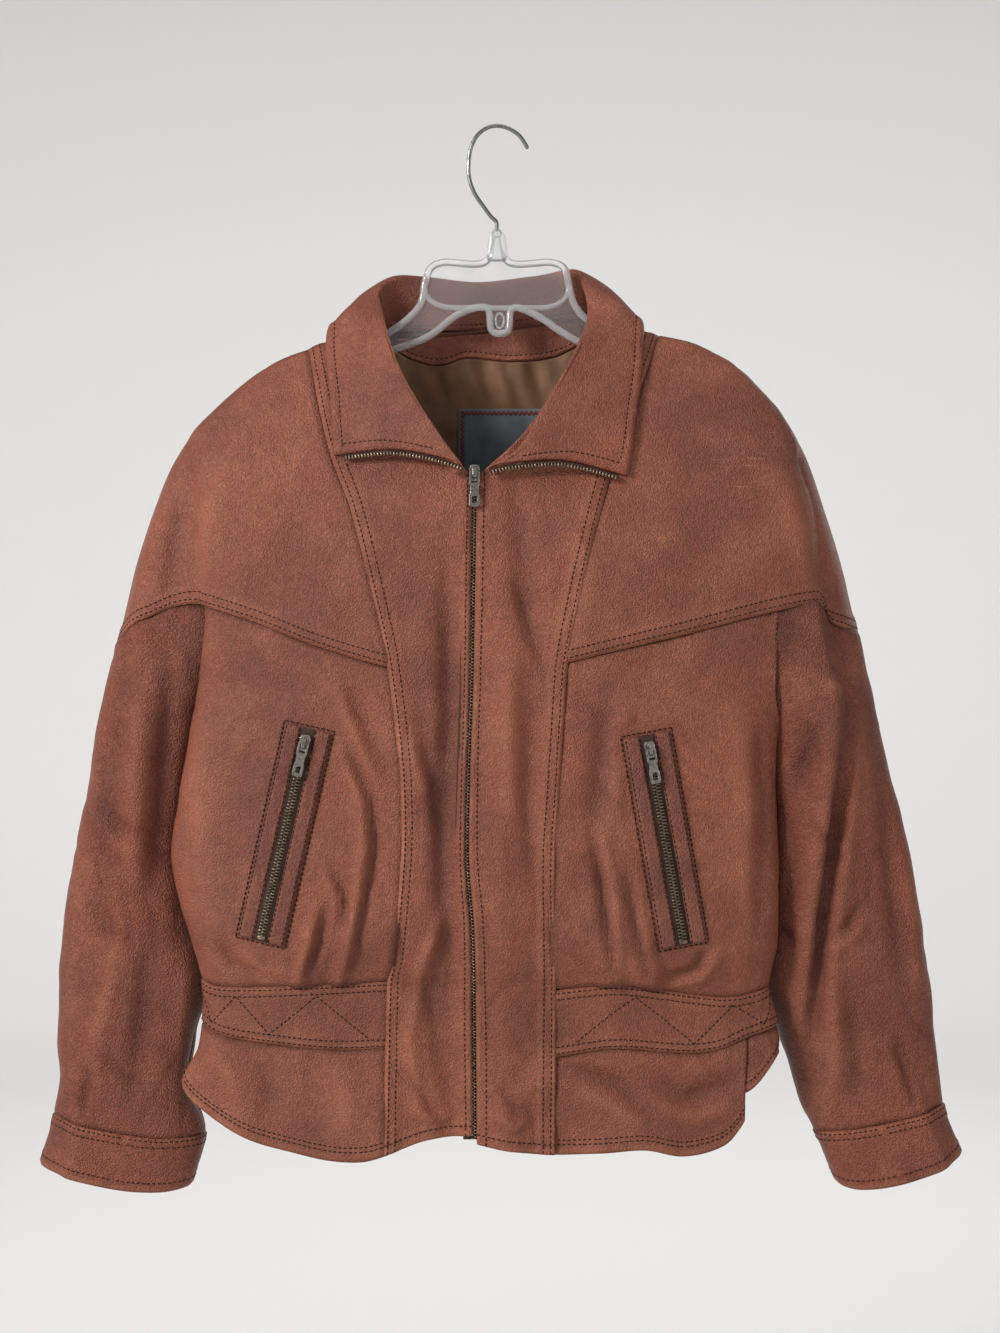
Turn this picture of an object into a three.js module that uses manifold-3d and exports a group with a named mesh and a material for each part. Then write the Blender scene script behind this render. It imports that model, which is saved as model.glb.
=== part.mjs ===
import * as THREE from "three";
import * as BufferGeometryUtils from "three/addons/utils/BufferGeometryUtils.js";
import Module from "manifold-3d";

// A worn leather jacket on a clear hanger. Sizes are millimetres, +Z is up and the front faces -Y.
// The origin is the inside of the hook's crown, where the hanger hangs. Sides are the wearer's,
// so right lies at -X. Curves are lists of pairs: a place first, then the value there.

// Thicknesses and small gaps
const LEATHER = 1.8;
const COLLAR_WALL = 2.4;
const LINING_WALL = 0.9;
const SEAM_GAP = 0.4;

// How square the cross sections are: 1 is a half ellipse, less is fuller
const FRONT_FULL = 0.6;
const BACK_FULL = 0.95;
const SLEEVE_FULL = 0.62;
const FOLD_SOFTNESS = 7;
const RIDGE_REACH = 0.85;

// Torso seen from the front and the side, over height
const torsoRight = curve([[-258, -252], [-314, -242], [-391, -237], [-468, -243], [-549, -257],
  [-590, -263], [-622, -259], [-671, -244], [-699, -238], [-747, -241], [-772, -253], [-840, -250]]);
const torsoLeft = curve([[-278, 245], [-314, 255], [-355, 260], [-391, 263], [-420, 257], [-452, 247],
  [-484, 231], [-509, 225], [-590, 227], [-662, 226], [-699, 219], [-719, 224], [-743, 227], [-840, 224]]);
const backEdgeLeft = curve([[-590, 260], [-545, 230], [-515, 224], [-470, 217], [-400, 216]]);
const frontDepth = curve([[-170, 44], [-289, 56], [-391, 62], [-519, 64], [-630, 66], [-680, 60],
  [-700, 54], [-750, 51], [-840, 57]]);
const sideDepth = curve([[-258, -14], [-400, -18], [-600, -20], [-720, -22], [-800, -31], [-840, -33]]);
const backDepth = curve([[-258, 34], [-400, 36], [-600, 38], [-700, 32], [-840, 36]]);
const seamPlane = curve([[-170, 0], [-300, 2], [-420, 5], [-620, 8], [-870, 8]]);

// Shoulder ridge over x, and the back neck between the two shoulders
const ridge = curve([[-248, -247], [-219, -219], [-186, -194], [-155, -181], [-125, -170], [-100, -158],
  [-60, -125], [-15, -108], [30, -118], [75, -148], [100, -160], [132, -170], [166, -178], [199, -198],
  [231, -231]]);
const backTop = curve([[-248, -247], [-219, -219], [-186, -194], [-155, -181], [-125, -171], [-100, -167],
  [-84, -167], [-16, -163], [74, -153], [100, -160], [132, -170], [166, -178], [199, -198], [231, -231]]);

// Front seams
const zipLine = curve([[-289, -18], [-357, -19], [-460, -21], [-519, -23], [-594, -24], [-649, -20],
  [-706, -19], [-840, -18]]);
const hemRight = curve([[-254, -770], [-252, -781], [-231, -799], [-199, -817], [-159, -829], [-133, -834],
  [-107, -834], [-91, -830], [-57, -818], [-18, -814]]);
const hemLeft = curve([[-18, -820], [9, -825], [46, -829], [81, -828], [117, -825], [150, -831],
  [184, -823], [198, -811], [206, -797]]);
const BACK_YOKE = curve([[-312, -423], [-290, -411], [-200, -408], [190, -406], [275, -407], [296, -414]]);
const backWaistTop = curve([[-242, -692], [0, -696], [226, -696]]);
const backWaistFoot = curve([[-242, -726], [-200, -738], [0, -742], [190, -740], [226, -730]]);
const backHem = curve([[-256, -768], [-225, -785], [0, -790], [180, -787], [205, -778], [229, -750]]);

const RIGHT = {
  name: "right",
  sign: -1,
  princess: curve([[-181, -155], [-265, -136], [-317, -117], [-400, -96], [-444, -87], [-518, -78],
    [-562, -76], [-602, -77], [-674, -84], [-694, -88], [-840, -91]]),
  yoke: curve([[-312, -423], [-296, -408], [-280, -401], [-260, -393], [-242, -391], [-232, -394],
    [-191, -407], [-150, -423], [-116, -434], [-87, -442]]),
  yokeEnd: [-87, -442],
  shoulderSeam: -155,
  shoulderTip: -248,
  waistTop: curve([[-242, -691], [-224, -697], [-159, -695], [-88, -691]]),
  waistFoot: curve([[-242, -725], [-223, -736], [-195, -741], [-133, -747], [-90, -746]]),
  hem: hemRight,
  sideSeam: curve([[-840, 97], [-380, 97]]),
  hemSeam: curve([[-840, 97], [-380, 97]]),
  sleeveOuter: curve([[-247, -248], [-280, -268], [-321, -284], [-362, -297], [-403, -307], [-423, -312],
    [-485, -327], [-543, -336], [-600, -347], [-649, -355], [-699, -359], [-748, -361], [-777, -359],
    [-807, -364], [-847, -375], [-872, -382]]),
  sleeveInner: curve([[-280, -190], [-350, -225], [-391, -238.6], [-428, -240.5], [-468, -247.4],
    [-509, -255], [-550, -262], [-591, -268], [-624, -264], [-673, -250], [-701, -244], [-740, -252],
    [-785, -254], [-812, -242], [-826, -240], [-872, -253]]),
  cuffTop: curve([[-366, -805], [-334, -814], [-305, -820], [-273, -824], [-236, -823]]),
  cuffFoot: curve([[-380, -846], [-346, -857], [-309, -866], [-273, -869], [-248, -866]]),
  fold: curve([[-860, -340], [-250, -340]]),
  foldStep: curve([[-860, 0], [-250, 0]]),
  pleats: [[[-158, -694], [-146, -640]], [[-126, -694], [-103, -588]]],
  tuck: [[-342, -812], [-333, -762]],
  pocket: [[-149, -490], [-187, -658]],
};

const LEFT = {
  name: "left",
  sign: 1,
  princess: curve([[-170, 132], [-211, 118], [-252, 103], [-287, 91], [-357, 73], [-434, 57], [-483, 53],
    [-546, 49], [-594, 46], [-700, 47], [-840, 46]]),
  yoke: curve([[57, -438], [119, -423], [153, -415], [211, -400], [256, -391], [262, -394], [268, -405],
    [280, -410], [296, -414]]),
  yokeEnd: [57, -438],
  shoulderSeam: 132,
  shoulderTip: 231,
  waistTop: curve([[47, -698], [92, -694], [123, -697], [162, -703], [184, -705], [206, -702],
    [224, -696]]),
  waistFoot: curve([[47, -752], [94, -746], [153, -750], [178, -747], [200, -738], [226, -730]]),
  hem: hemLeft,
  sideSeam: curve([[-840, 97], [-620, 97], [-540, 97], [-522, 96], [-500, 89], [-468, 69], [-440, 62],
    [-398, 58]]),
  hemSeam: curve([[-840, 62], [-380, 62]]),
  sleeveOuter: curve([[-231, 231], [-268, 252], [-313, 268], [-354, 281], [-395, 291], [-414, 296],
    [-444, 302], [-493, 314], [-551, 327], [-617, 339], [-674, 351], [-723, 357], [-773, 362], [-800, 366],
    [-839, 381], [-870, 390]]),
  sleeveInner: curve([[-260, 175], [-340, 205], [-391, 223], [-401, 224.6], [-460, 223], [-480, 225],
    [-509, 230], [-550, 231], [-591, 232], [-632, 232], [-664, 231], [-701, 229], [-738, 233], [-762, 238],
    [-799, 249], [-821, 260], [-870, 280]]),
  cuffTop: curve([[256, -821], [285, -817], [326, -809], [368, -797]]),
  cuffFoot: curve([[274, -864], [294, -867], [326, -862], [358, -851], [386, -836]]),
  fold: curve([[-392, 261], [-460, 274], [-482, 281], [-514, 280], [-548, 273], [-582, 268], [-627, 264],
    [-672, 257], [-740, 248]]),
  foldStep: curve([[-391, 14], [-500, 14], [-600, 10], [-700, 4], [-740, 0]]),
  pleats: [[[94, -695], [86, -612]], [[124, -698], [108, -615]]],
  tuck: [[347, -803], [322, -738]],
  pocket: [[118, -495], [147, -661]],
};

// Sleeve section, front and back of the seam plane, over height
const sleeveFront = curve([[-250, 24], [-400, 34], [-500, 38], [-620, 36], [-740, 33], [-800, 29],
  [-870, 26]]);
const sleeveBack = curve([[-250, 20], [-400, 26], [-620, 28], [-800, 25], [-870, 24]]);
const ARMPIT_TOP = -400;
const ARMPIT_FOOT = -500;

// Collar in stations from the right front end round the back to the left front end.
// Each station has the neck seam, the roll, the middle of the fall and the outer edge. At the
// front the second number is how far the place stands off the panel under it.
const COLLAR_FRONT = 5;
const COLLAR = [
  [[-33, 2, -288], [-26.5, 8, -283], [-76, 10, -269], [-131, 5, -272]],
  [[-52, 2, -268], [-43, 11, -261], [-86, 10, -252], [-133, 5, -250]],
  [[-72, 2, -244], [-61, 12, -233], [-99, 10, -226], [-135, 5, -225]],
  [[-88, 2, -218], [-77, 12, -204], [-108, 10, -201], [-138, 5, -200]],
  [[-97, 2, -194], [-86, 12, -178], [-114, 11, -176], [-140, 6, -181]],
  [[-104, -13, -174], [-93, -11, -152], [-118, -12, -150], [-139, -8, -165]],
  [[-102, 9, -164], [-97, 2, -133], [-119, 8, -142], [-137, 13, -168]],
  [[-86, 19, -163], [-84, 18, -119], [-104, 32, -128], [-122, 42, -174]],
  [[-56, 23.5, -162], [-55, 28, -118], [-60, 44, -126], [-64, 50, -184]],
  [[-14, 24, -161], [-14, 32, -120], [-14, 48, -127], [-14, 52, -188]],
  [[28, 23.5, -156.6], [29, 28, -117], [34, 44, -125], [40, 50, -182]],
  [[66, 21, -152], [61, 18, -113], [82, 32, -121], [104, 42, -170]],
  [[86, 9, -155], [70, 2, -130], [94, 6, -132], [117, 13, -160]],
  [[88, -13, -166], [73, -11, -154], [98, -13, -149], [120, -8, -161]],
  [[80, 2, -186], [67, 12, -176], [94, 11, -173], [119, 6, -179]],
  [[70, 2, -208], [58, 12, -196], [88, 10, -196], [117, 5, -206]],
  [[50, 2, -238], [40, 12, -228], [77, 10, -224], [113, 5, -232]],
  [[28, 2, -267], [18, 11, -266], [64, 10, -256], [109, 5, -262]],
  [[1, 2, -290], [-8.5, 8, -285], [48, 10, -277], [104, 5, -289]],
];
const facingFoot = curve([[-88, -178], [-67, -188], [-45, -191], [-26, -185], [12, -188], [48, -184],
  [70, -174]]);

// Zips, in sizes along and across
const CHAIN_WIDTH = 6;
const CHAIN_WALL = 2;
const TAPE_WIDTH = 13;
const WELT_WIDTH = 12;
const WELT_WALL = 1.5;
const SLIDER_WIDTH = 9;
const SLIDER_LENGTH = 13;
const SLIDER_WALL = 3.4;
const TAB_WIDTH = 8.4;
const TAB_LENGTH = 27;
const TAB_WALL = 1.4;
const TAB_LIFT = 1.3;

// Hanger, as seen from the front
const HANGER_WALL = 5.4;
const HOOK_WIRE = 1.65;
const HOOK = [[-0.5, -85.4], [-1, -77], [-5, -73], [-11, -65], [-19, -53], [-23, -41], [-23.5, -30],
  [-22, -18], [-17, -7], [-9, -0.4], [0, 1.65], [9, -0.6], [18, -6.5], [25, -17]];
const HANGER = [[-6, -86], [5, -86], [10, -107], [46, -107.5], [57, -113], [61, -126], [66, -144],
  [80, -158.5], [95, -164.5], [105, -167.2], [132, -175.8], [166, -184.2], [188, -197], [194, -205],
  [189, -213], [150, -199], [110, -190], [66, -178], [50, -169], [30, -156], [14, -150], [10, -169],
  [-6, -169], [-10, -150], [-28, -154], [-56, -174], [-86, -185], [-120, -196], [-160, -211],
  [-199, -229], [-205, -223], [-203, -213.6], [-186, -200.4], [-155, -187], [-122, -175.8],
  [-92, -166], [-66, -144], [-62, -126], [-57, -113], [-46, -107.5], [-11, -107]];

// Looks of the plain solids
const leather = new THREE.MeshStandardMaterial({ color: 0x96553f, roughness: 0.55, metalness: 0 });
const trim = new THREE.MeshStandardMaterial({ color: 0x8a4c38, roughness: 0.55, metalness: 0 });
const satin = new THREE.MeshStandardMaterial({ color: 0x5d4326, roughness: 0.5, metalness: 0 });
const patch = new THREE.MeshStandardMaterial({ color: 0x4f5658, roughness: 0.9, metalness: 0 });
const zipCloth = new THREE.MeshStandardMaterial({ color: 0x3a2a22, roughness: 0.8, metalness: 0 });
const oldBrass = new THREE.MeshStandardMaterial({ color: 0x7d7362, roughness: 0.4, metalness: 1 });
const clear = new THREE.MeshStandardMaterial({ color: 0xdfe3e4, roughness: 0.1, metalness: 0 });
const wire = new THREE.MeshStandardMaterial({ color: 0xb4b7ba, roughness: 0.25, metalness: 1 });

const wasm = await Module();
wasm.setup();
const group = new THREE.Group();

// A smooth curve through points given as place and value
function curve(points) {
  const p = points[0][0] < points[points.length - 1][0] ? points : [...points].reverse();
  const n = p.length;
  const slope = p.map((_, i) => {
    const a = p[Math.max(i - 1, 0)];
    const b = p[Math.min(i + 1, n - 1)];
    return (b[1] - a[1]) / (b[0] - a[0]);
  });
  return (t) => {
    const c = Math.min(Math.max(t, p[0][0]), p[n - 1][0]);
    let i = 0;
    while (i < n - 2 && c > p[i + 1][0]) i += 1;
    const h = p[i + 1][0] - p[i][0];
    const s = (c - p[i][0]) / h;
    const a = (1 + 2 * s) * (1 - s) * (1 - s);
    const b = s * (1 - s) * (1 - s) * h;
    const d = s * s * (3 - 2 * s);
    const e = s * s * (s - 1) * h;
    return a * p[i][1] + b * slope[i] + d * p[i + 1][1] + e * slope[i + 1];
  };
}

function lerp(a, b, t) {
  return a + (b - a) * t;
}

function smooth(a, b, v) {
  const t = Math.min(Math.max((v - a) / (b - a), 0), 1);
  return t * t * (3 - 2 * t);
}

// The larger of two depths, rounded where they meet
function softMax(a, b) {
  return (a + b + Math.sqrt((a - b) * (a - b) + FOLD_SOFTNESS * FOLD_SOFTNESS)) / 2;
}

function quarterRound(r) {
  const c = 1 - Math.min(Math.max(r, 0), 1);
  return Math.sqrt(Math.max(0, 1 - c * c));
}

// Torso section: angle 0 is the middle of the front, 90 the left side, 180 the back, in degrees
function torso(angle, z) {
  const a = (angle * Math.PI) / 180;
  const c = Math.cos(a);
  const l = torsoRight(z);
  const r = c < 0 ? Math.min(torsoLeft(z), backEdgeLeft(z)) : torsoLeft(z);
  const side = sideDepth(z);
  const x = (l + r) / 2 + ((r - l) / 2) * Math.sin(a);
  const y = c >= 0
    ? side - (frontDepth(z) + side) * c ** FRONT_FULL
    : side + (backDepth(z) - side) * (-c) ** BACK_FULL;
  return [x, y, z];
}

function torsoAngle(x, z) {
  const l = torsoRight(z);
  const r = torsoLeft(z);
  const s = (x - (l + r) / 2) / ((r - l) / 2);
  return (Math.asin(Math.min(Math.max(s, -1), 1)) * 180) / Math.PI;
}

// Depth of the torso layer and of the sleeve layer at a place seen from the front
function torsoLayer(x, z, back) {
  const l = torsoRight(z);
  const r = torsoLeft(z);
  const half = (r - l) / 2;
  const t = Math.abs(x - (l + r) / 2) / half;
  const side = back ? -sideDepth(z) : sideDepth(z);
  const full = back ? backDepth(z) : frontDepth(z);
  if (t >= 1) return -side - (t - 1) * half * 3;
  return -side + (full + side) * (1 - t * t) ** ((back ? BACK_FULL : FRONT_FULL) / 2);
}

function sleeveLayer(s, x, z, back) {
  const o = s.sleeveOuter(z);
  const i = s.sleeveInner(z);
  const t = ((x - (o + i) / 2) / (o - i)) * 2;
  const full = back ? sleeveBack(z) : sleeveFront(z);
  const round = t <= 0 ? 1 : Math.max(0, 1 - t * t) ** (SLEEVE_FULL / 2);
  return (back ? 1 : -1) * seamPlane(z) + full * round;
}

// Main folds of the fronts: a long valley beside the zip and the fold that rises beside the panel seam
function centreFold(x, z) {
  const valley = Math.exp(-(((x - zipLine(z) + 17) / 11) ** 2)) * smooth(-330, -420, z);
  const rise = Math.exp(-(((x - zipLine(z) - 26) / 13) ** 2)) * smooth(-330, -420, z);
  return 2.5 * rise - 4.5 * valley;
}

function pleatFold(s, x, z) {
  let h = 0;
  for (const [foot, top] of s.pleats) {
    const t = (z - foot[1]) / (top[1] - foot[1]);
    if (t > 1) continue;
    const d = (x - lerp(foot[0], top[0], Math.max(t, 0))) * s.sign;
    const width = d < 0 ? 13 : 5;
    h += 6.5 * (1 - smooth(0, 1, t)) * Math.exp(-((d / width) ** 2));
  }
  return h;
}

function tuckFold(s, x, z) {
  const [foot, top] = s.tuck;
  const t = (z - foot[1]) / (top[1] - foot[1]);
  if (t > 1) return 0;
  const d = (x - lerp(foot[0], top[0], t)) * s.sign;
  const width = d < 0 ? 16 : 6;
  return 5.5 * (1 - smooth(0, 1, t)) * Math.exp(-((d / width) ** 2));
}

function hemWave(x, z) {
  return 3.2 * smooth(-745, -815, z) * Math.sin((x + 20) / 17);
}

// Front surface beside the zip, up to the shoulder
function centreAt(s, x, z) {
  const top = ridge(x);
  const v = (z - s.yokeEnd[1]) / (top - s.yokeEnd[1]);
  const g = quarterRound((1 - v) / RIDGE_REACH);
  const base = seamPlane(z);
  return base - (torsoLayer(x, z, false) + base) * g - centreFold(x, z) - 0.6 * hemWave(x, z);
}

function lowerAt(s, angle, z) {
  const [x, y] = torso(angle, z);
  const face = Math.max(0, Math.cos((angle * Math.PI) / 180)) ** 0.5;
  return [x, y - (pleatFold(s, x, z) + 5 * Math.exp(-(((z + 660) / 24) ** 2))) * face, z];
}

function bandAt(angle, z) {
  return torso(angle, z);
}

function peplumAt(angle, z) {
  const [x, y] = torso(angle, z);
  const c = Math.cos((angle * Math.PI) / 180);
  return [x, y - hemWave(x, z) * Math.sign(c) * Math.abs(c) ** 0.5, z];
}

// Sleeve section: angle 90 is the outer edge, -90 the inner edge, 0 the front, 180 the back
function sleeveAt(s, angle, z) {
  const a = (angle * Math.PI) / 180;
  const o = s.sleeveOuter(z);
  const i = s.sleeveInner(z);
  const k = Math.sin(a);
  const c = Math.cos(a);
  const x = (o + i) / 2 + ((o - i) / 2) * k;
  if (c < 0) return [x, seamPlane(z) + sleeveBack(z) * (-c) ** SLEEVE_FULL, z];
  const turn = smooth(ARMPIT_TOP, ARMPIT_FOOT, z);
  const round = k > 0 ? Math.max(c, 0) ** SLEEVE_FULL : lerp(1, Math.max(c, 0) ** SLEEVE_FULL, turn);
  const inside = (s.fold(z) - x) * s.sign;
  const step = s.foldStep(z) * (1 + Math.min(Math.max(inside, 0), 40) / 100);
  const raise = step * (1 - smooth(-6, 6, -inside)) * round ** 0.5 + tuckFold(s, x, z) * round;
  return [x, seamPlane(z) - sleeveFront(z) * round - raise, z];
}

// A four sided patch between its edges, each a function from 0 to 1 that gives a pair
function coons(bottom, top, start, end) {
  const p00 = start(0);
  const p01 = start(1);
  const p10 = end(0);
  const p11 = end(1);
  return (u, v) => [0, 1].map((k) => {
    const across = lerp(bottom(u)[k], top(u)[k], v);
    const along = lerp(start(v)[k], end(v)[k], u);
    const corners = lerp(lerp(p00[k], p10[k], u), lerp(p01[k], p11[k], u), v);
    return across + along - corners;
  });
}

// A patch on a ring form between two angles and two heights, which may follow x
function ringPatch(at, angleStart, angleEnd, foot, top) {
  const level = (angle, line, guess) => {
    let z = guess;
    for (let k = 0; k < 6; k += 1) z = line(at(angle, z)[0]);
    return z;
  };
  const corner = (side, line, guess) => {
    let z = guess;
    for (let k = 0; k < 8; k += 1) z = line(at(side(z), z)[0]);
    return [side(z), z];
  };
  const c00 = corner(angleStart, foot, -700);
  const c10 = corner(angleEnd, foot, -700);
  const c01 = corner(angleStart, top, -450);
  const c11 = corner(angleEnd, top, -450);
  const edge = (a, b, line) => (u) => {
    const angle = lerp(a[0], b[0], u);
    return [angle, level(angle, line, lerp(a[1], b[1], u))];
  };
  const rise = (a, b, side) => (v) => {
    const z = lerp(a[1], b[1], v);
    return [side(z), z];
  };
  const flat = coons(edge(c00, c10, foot), edge(c01, c11, top), rise(c00, c01, angleStart),
    rise(c10, c11, angleEnd));
  return (u, v) => {
    const [angle, z] = flat(u, v);
    return at(angle, z);
  };
}

// Turns corner lists into a closed solid with its faces outward
function solid(name, points, faces, material) {
  let volume = 0;
  for (const [a, b, c] of faces) {
    volume += points[a].dot(new THREE.Vector3().crossVectors(points[b], points[c])) / 6;
  }
  const index = faces.flatMap(([a, b, c]) => (volume > 0 ? [a, b, c] : [a, c, b]));
  const g = new THREE.BufferGeometry();
  g.setAttribute("position", new THREE.Float32BufferAttribute(points.flatMap((p) => [p.x, p.y, p.z]), 3));
  g.setIndex(index);
  return add(name, g, material);
}

function add(name, geometry, material) {
  geometry.computeVertexNormals();
  const mesh = new THREE.Mesh(geometry, material);
  mesh.name = name;
  group.add(mesh);
  return mesh;
}

// A wall of even thickness under an outer face. out is a direction the outer face looks to.
function wall(name, material, nu, nv, at, thick, out, options = {}) {
  const gapU = options.gapU ?? SEAM_GAP / 2;
  const gapV = options.gapV ?? SEAM_GAP / 2;
  const limit = options.limit ?? ((p) => p);
  const spreadU = options.spreadU ?? ((t) => t);
  const spreadV = options.spreadV ?? ((t) => t);
  const point = (u, v) => new THREE.Vector3(...at(u, v));
  let lengthU = 0;
  let lengthV = 0;
  for (let k = 0; k < 16; k += 1) {
    lengthU += point(k / 16, 0.5).distanceTo(point((k + 1) / 16, 0.5));
    lengthV += point(0.5, k / 16).distanceTo(point(0.5, (k + 1) / 16));
  }
  const eu = gapU / lengthU;
  const ev = gapV / lengthV;
  const h = 0.004;
  const closed = options.closed ?? false;
  const columns = closed ? nu : nu + 1;
  const outer = [];
  const inner = [];
  const facing = out ? new THREE.Vector3(...out) : null;
  for (let j = 0; j <= nv; j += 1) {
    for (let i = 0; i < columns; i += 1) {
      const u = closed ? i / nu : lerp(eu, 1 - eu, spreadU(i / nu));
      const v = lerp(ev, 1 - ev, spreadV(j / nv));
      const u0 = closed ? u - h : Math.max(u - h, 0);
      const u1 = closed ? u + h : Math.min(u + h, 1);
      const du = point(u1, v).sub(point(u0, v));
      const dv = point(u, Math.min(v + h, 1)).sub(point(u, Math.max(v - h, 0)));
      const n = du.cross(dv).normalize();
      const look = options.outAt ? new THREE.Vector3(...options.outAt(u, v)) : facing;
      if (look && n.dot(look) < 0) n.negate();
      const p = point(u, v);
      outer.push(limit(p.clone()));
      inner.push(limit(p.clone().addScaledVector(n, -thick)));
    }
  }
  const count = outer.length;
  const faces = [];
  const id = (i, j) => j * columns + (closed ? i % nu : i);
  const quad = (a, b, c, d) => faces.push([a, b, c], [a, c, d]);
  for (let j = 0; j < nv; j += 1) {
    for (let i = 0; i < nu; i += 1) {
      quad(id(i, j), id(i + 1, j), id(i + 1, j + 1), id(i, j + 1));
      quad(count + id(i, j), count + id(i, j + 1), count + id(i + 1, j + 1), count + id(i + 1, j));
    }
  }
  for (let i = 0; i < nu; i += 1) {
    quad(id(i + 1, 0), id(i, 0), count + id(i, 0), count + id(i + 1, 0));
    quad(id(i, nv), id(i + 1, nv), count + id(i + 1, nv), count + id(i, nv));
  }
  if (!closed) {
    for (let j = 0; j < nv; j += 1) {
      quad(id(0, j), id(0, j + 1), count + id(0, j + 1), count + id(0, j));
      quad(id(nu, j + 1), id(nu, j), count + id(nu, j), count + id(nu, j + 1));
    }
  }
  return solid(name, [...outer, ...inner], faces, material);
}

const FRONT = [0, -1, 0];
const BACK = [0, 1, 0];
const keepFront = (p) => {
  p.y = Math.min(p.y, seamPlane(p.z) - SEAM_GAP / 2);
  return p;
};
const keepBack = (p) => {
  p.y = Math.max(p.y, seamPlane(p.z) + SEAM_GAP / 2);
  return p;
};
const towardsEnd = (t) => Math.sin((t * Math.PI) / 2) * 0.6 + t * 0.4;

// Fronts, side by side
function buildFronts(s) {
  // Centre front, zip edge to panel seam and hem to shoulder
  const zipEdge = (v) => {
    const z = lerp(s.hem(zipLine(-820)), -290, v);
    return [zipLine(z) + s.sign * 1.6, z];
  };
  const seamFoot = s.hem(s.princess(-829));
  const seamTop = ridge(s.shoulderSeam) - 0.2;
  const panelSeam = (v) => {
    const z = lerp(seamFoot, seamTop, v);
    return [s.princess(z), z];
  };
  const hemLine = (u) => {
    const x = lerp(zipEdge(0)[0], s.princess(seamFoot), u);
    return [x, s.hem(x)];
  };
  const neckPoints = s.sign < 0
    ? [[-19.6, -290], [-48, -258], [-75, -215], [-95, -180], [-112, -170], [-155, -181.2]]
    : [[-16.4, -290], [18, -258], [50, -214], [74, -176], [92, -162], [132, -170.2]];
  const neckPath = new THREE.CatmullRomCurve3(neckPoints.map(([x, z]) => new THREE.Vector3(x, 0, z)));
  const neckLine = (u) => {
    const p = neckPath.getPointAt(u);
    return [p.x, p.z];
  };
  const centre = coons(hemLine, neckLine, zipEdge, panelSeam);
  wall("centre_front_" + s.name, leather, 6, 22, (u, v) => {
    const [x, z] = centre(u, v);
    return [x, centreAt(s, x, z), z];
  }, LEATHER, FRONT, { limit: keepFront });

  // Yoke, cut in one with the head of the sleeve
  const yokeIn = (v) => {
    const z = lerp(s.yokeEnd[1], seamTop, v);
    return [s.princess(z), z];
  };
  const tipZ = ridge(s.shoulderTip);
  const outFoot = s.yoke(s.sign * 320);
  const yokeOut = (v) => {
    const z = lerp(outFoot, tipZ, v);
    return [s.sleeveOuter(z), z];
  };
  const yokeFoot = (u) => {
    const x = lerp(s.princess(s.yokeEnd[1]), s.sleeveOuter(outFoot), u);
    return [x, s.yoke(x)];
  };
  const yokeTop = (u) => {
    const x = lerp(s.shoulderSeam, s.shoulderTip, u);
    return [x, ridge(x)];
  };
  const yoke = coons(yokeFoot, yokeTop, yokeIn, yokeOut);
  wall("front_yoke_" + s.name, leather, 13, 9, (u, v) => {
    const [x, z] = yoke(u, v);
    const base = seamPlane(z);
    const depth = softMax(torsoLayer(x, z, false), sleeveLayer(s, x, z, false)) + base;
    const edge = quarterRound((1 - u) / 0.08);
    return [x, base - depth * quarterRound((1 - v) / RIDGE_REACH) * edge, z];
  }, LEATHER, FRONT, { limit: keepFront, spreadV: towardsEnd, spreadU: towardsEnd });

  // Lower front with its pleats, round to the side
  const innerAngle = (z) => torsoAngle(s.princess(z), z);
  const outerAngle = (z) => s.sign * s.sideSeam(z);
  wall("lower_front_" + s.name, leather, 18, 10,
    ringPatch((a, z) => lowerAt(s, a, z), innerAngle, outerAngle, s.waistTop, s.yoke),
    LEATHER, FRONT, { outAt: (u) => [s.sign * u * u, -1 + 0.9 * u * u, 0] });

  // Waistband and peplum
  wall("front_waistband_" + s.name, leather, 13, 3,
    ringPatch(bandAt, innerAngle, outerAngle, s.waistFoot, s.waistTop),
    LEATHER + 0.6, FRONT, { outAt: (u) => [s.sign * u * u, -1 + 0.9 * u * u, 0] });
  const hemAngle = (z) => s.sign * s.hemSeam(z);
  wall("front_peplum_" + s.name, leather, 14, 5,
    ringPatch(peplumAt, innerAngle, hemAngle, s.hem, s.waistFoot),
    LEATHER, FRONT, { outAt: (u) => [s.sign * u * u, -1 + 0.9 * u * u, 0] });

  // Sleeve halves and the cuff
  const sleeve = (a, z) => sleeveAt(s, a, z);
  wall("sleeve_front_" + s.name, leather, 9, 13,
    ringPatch(sleeve, () => -89.5, () => 89.9, s.cuffTop, s.yoke),
    LEATHER, FRONT, { gapV: 0.9, outAt: (u) => [s.sign * (2 * u - 1), -0.6, 0] });
  wall("sleeve_back_" + s.name, leather, 7, 10,
    ringPatch(sleeve, () => 90.1, () => 269.5, s.cuffTop, BACK_YOKE),
    LEATHER, BACK, { gapV: 0.9, outAt: (u) => [s.sign * (1 - 2 * u), 0.6, 0] });
  const cuff = (u, v) => {
    const angle = 360 * u;
    let z = -840;
    for (let k = 0; k < 6; k += 1) {
      const x = sleeveAt(s, angle, z)[0];
      z = lerp(s.cuffFoot(x), s.cuffTop(x), v);
    }
    const [x, y] = sleeveAt(s, angle, z);
    return [x, y, z];
  };
  wall("cuff_" + s.name, leather, 22, 3, cuff, LEATHER + 0.6, FRONT, {
    closed: true,
    outAt: (u) => {
      const a = u * 2 * Math.PI;
      return [s.sign * Math.sin(a), -Math.cos(a), 0];
    },
  });
}

buildFronts(RIGHT);
buildFronts(LEFT);

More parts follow.
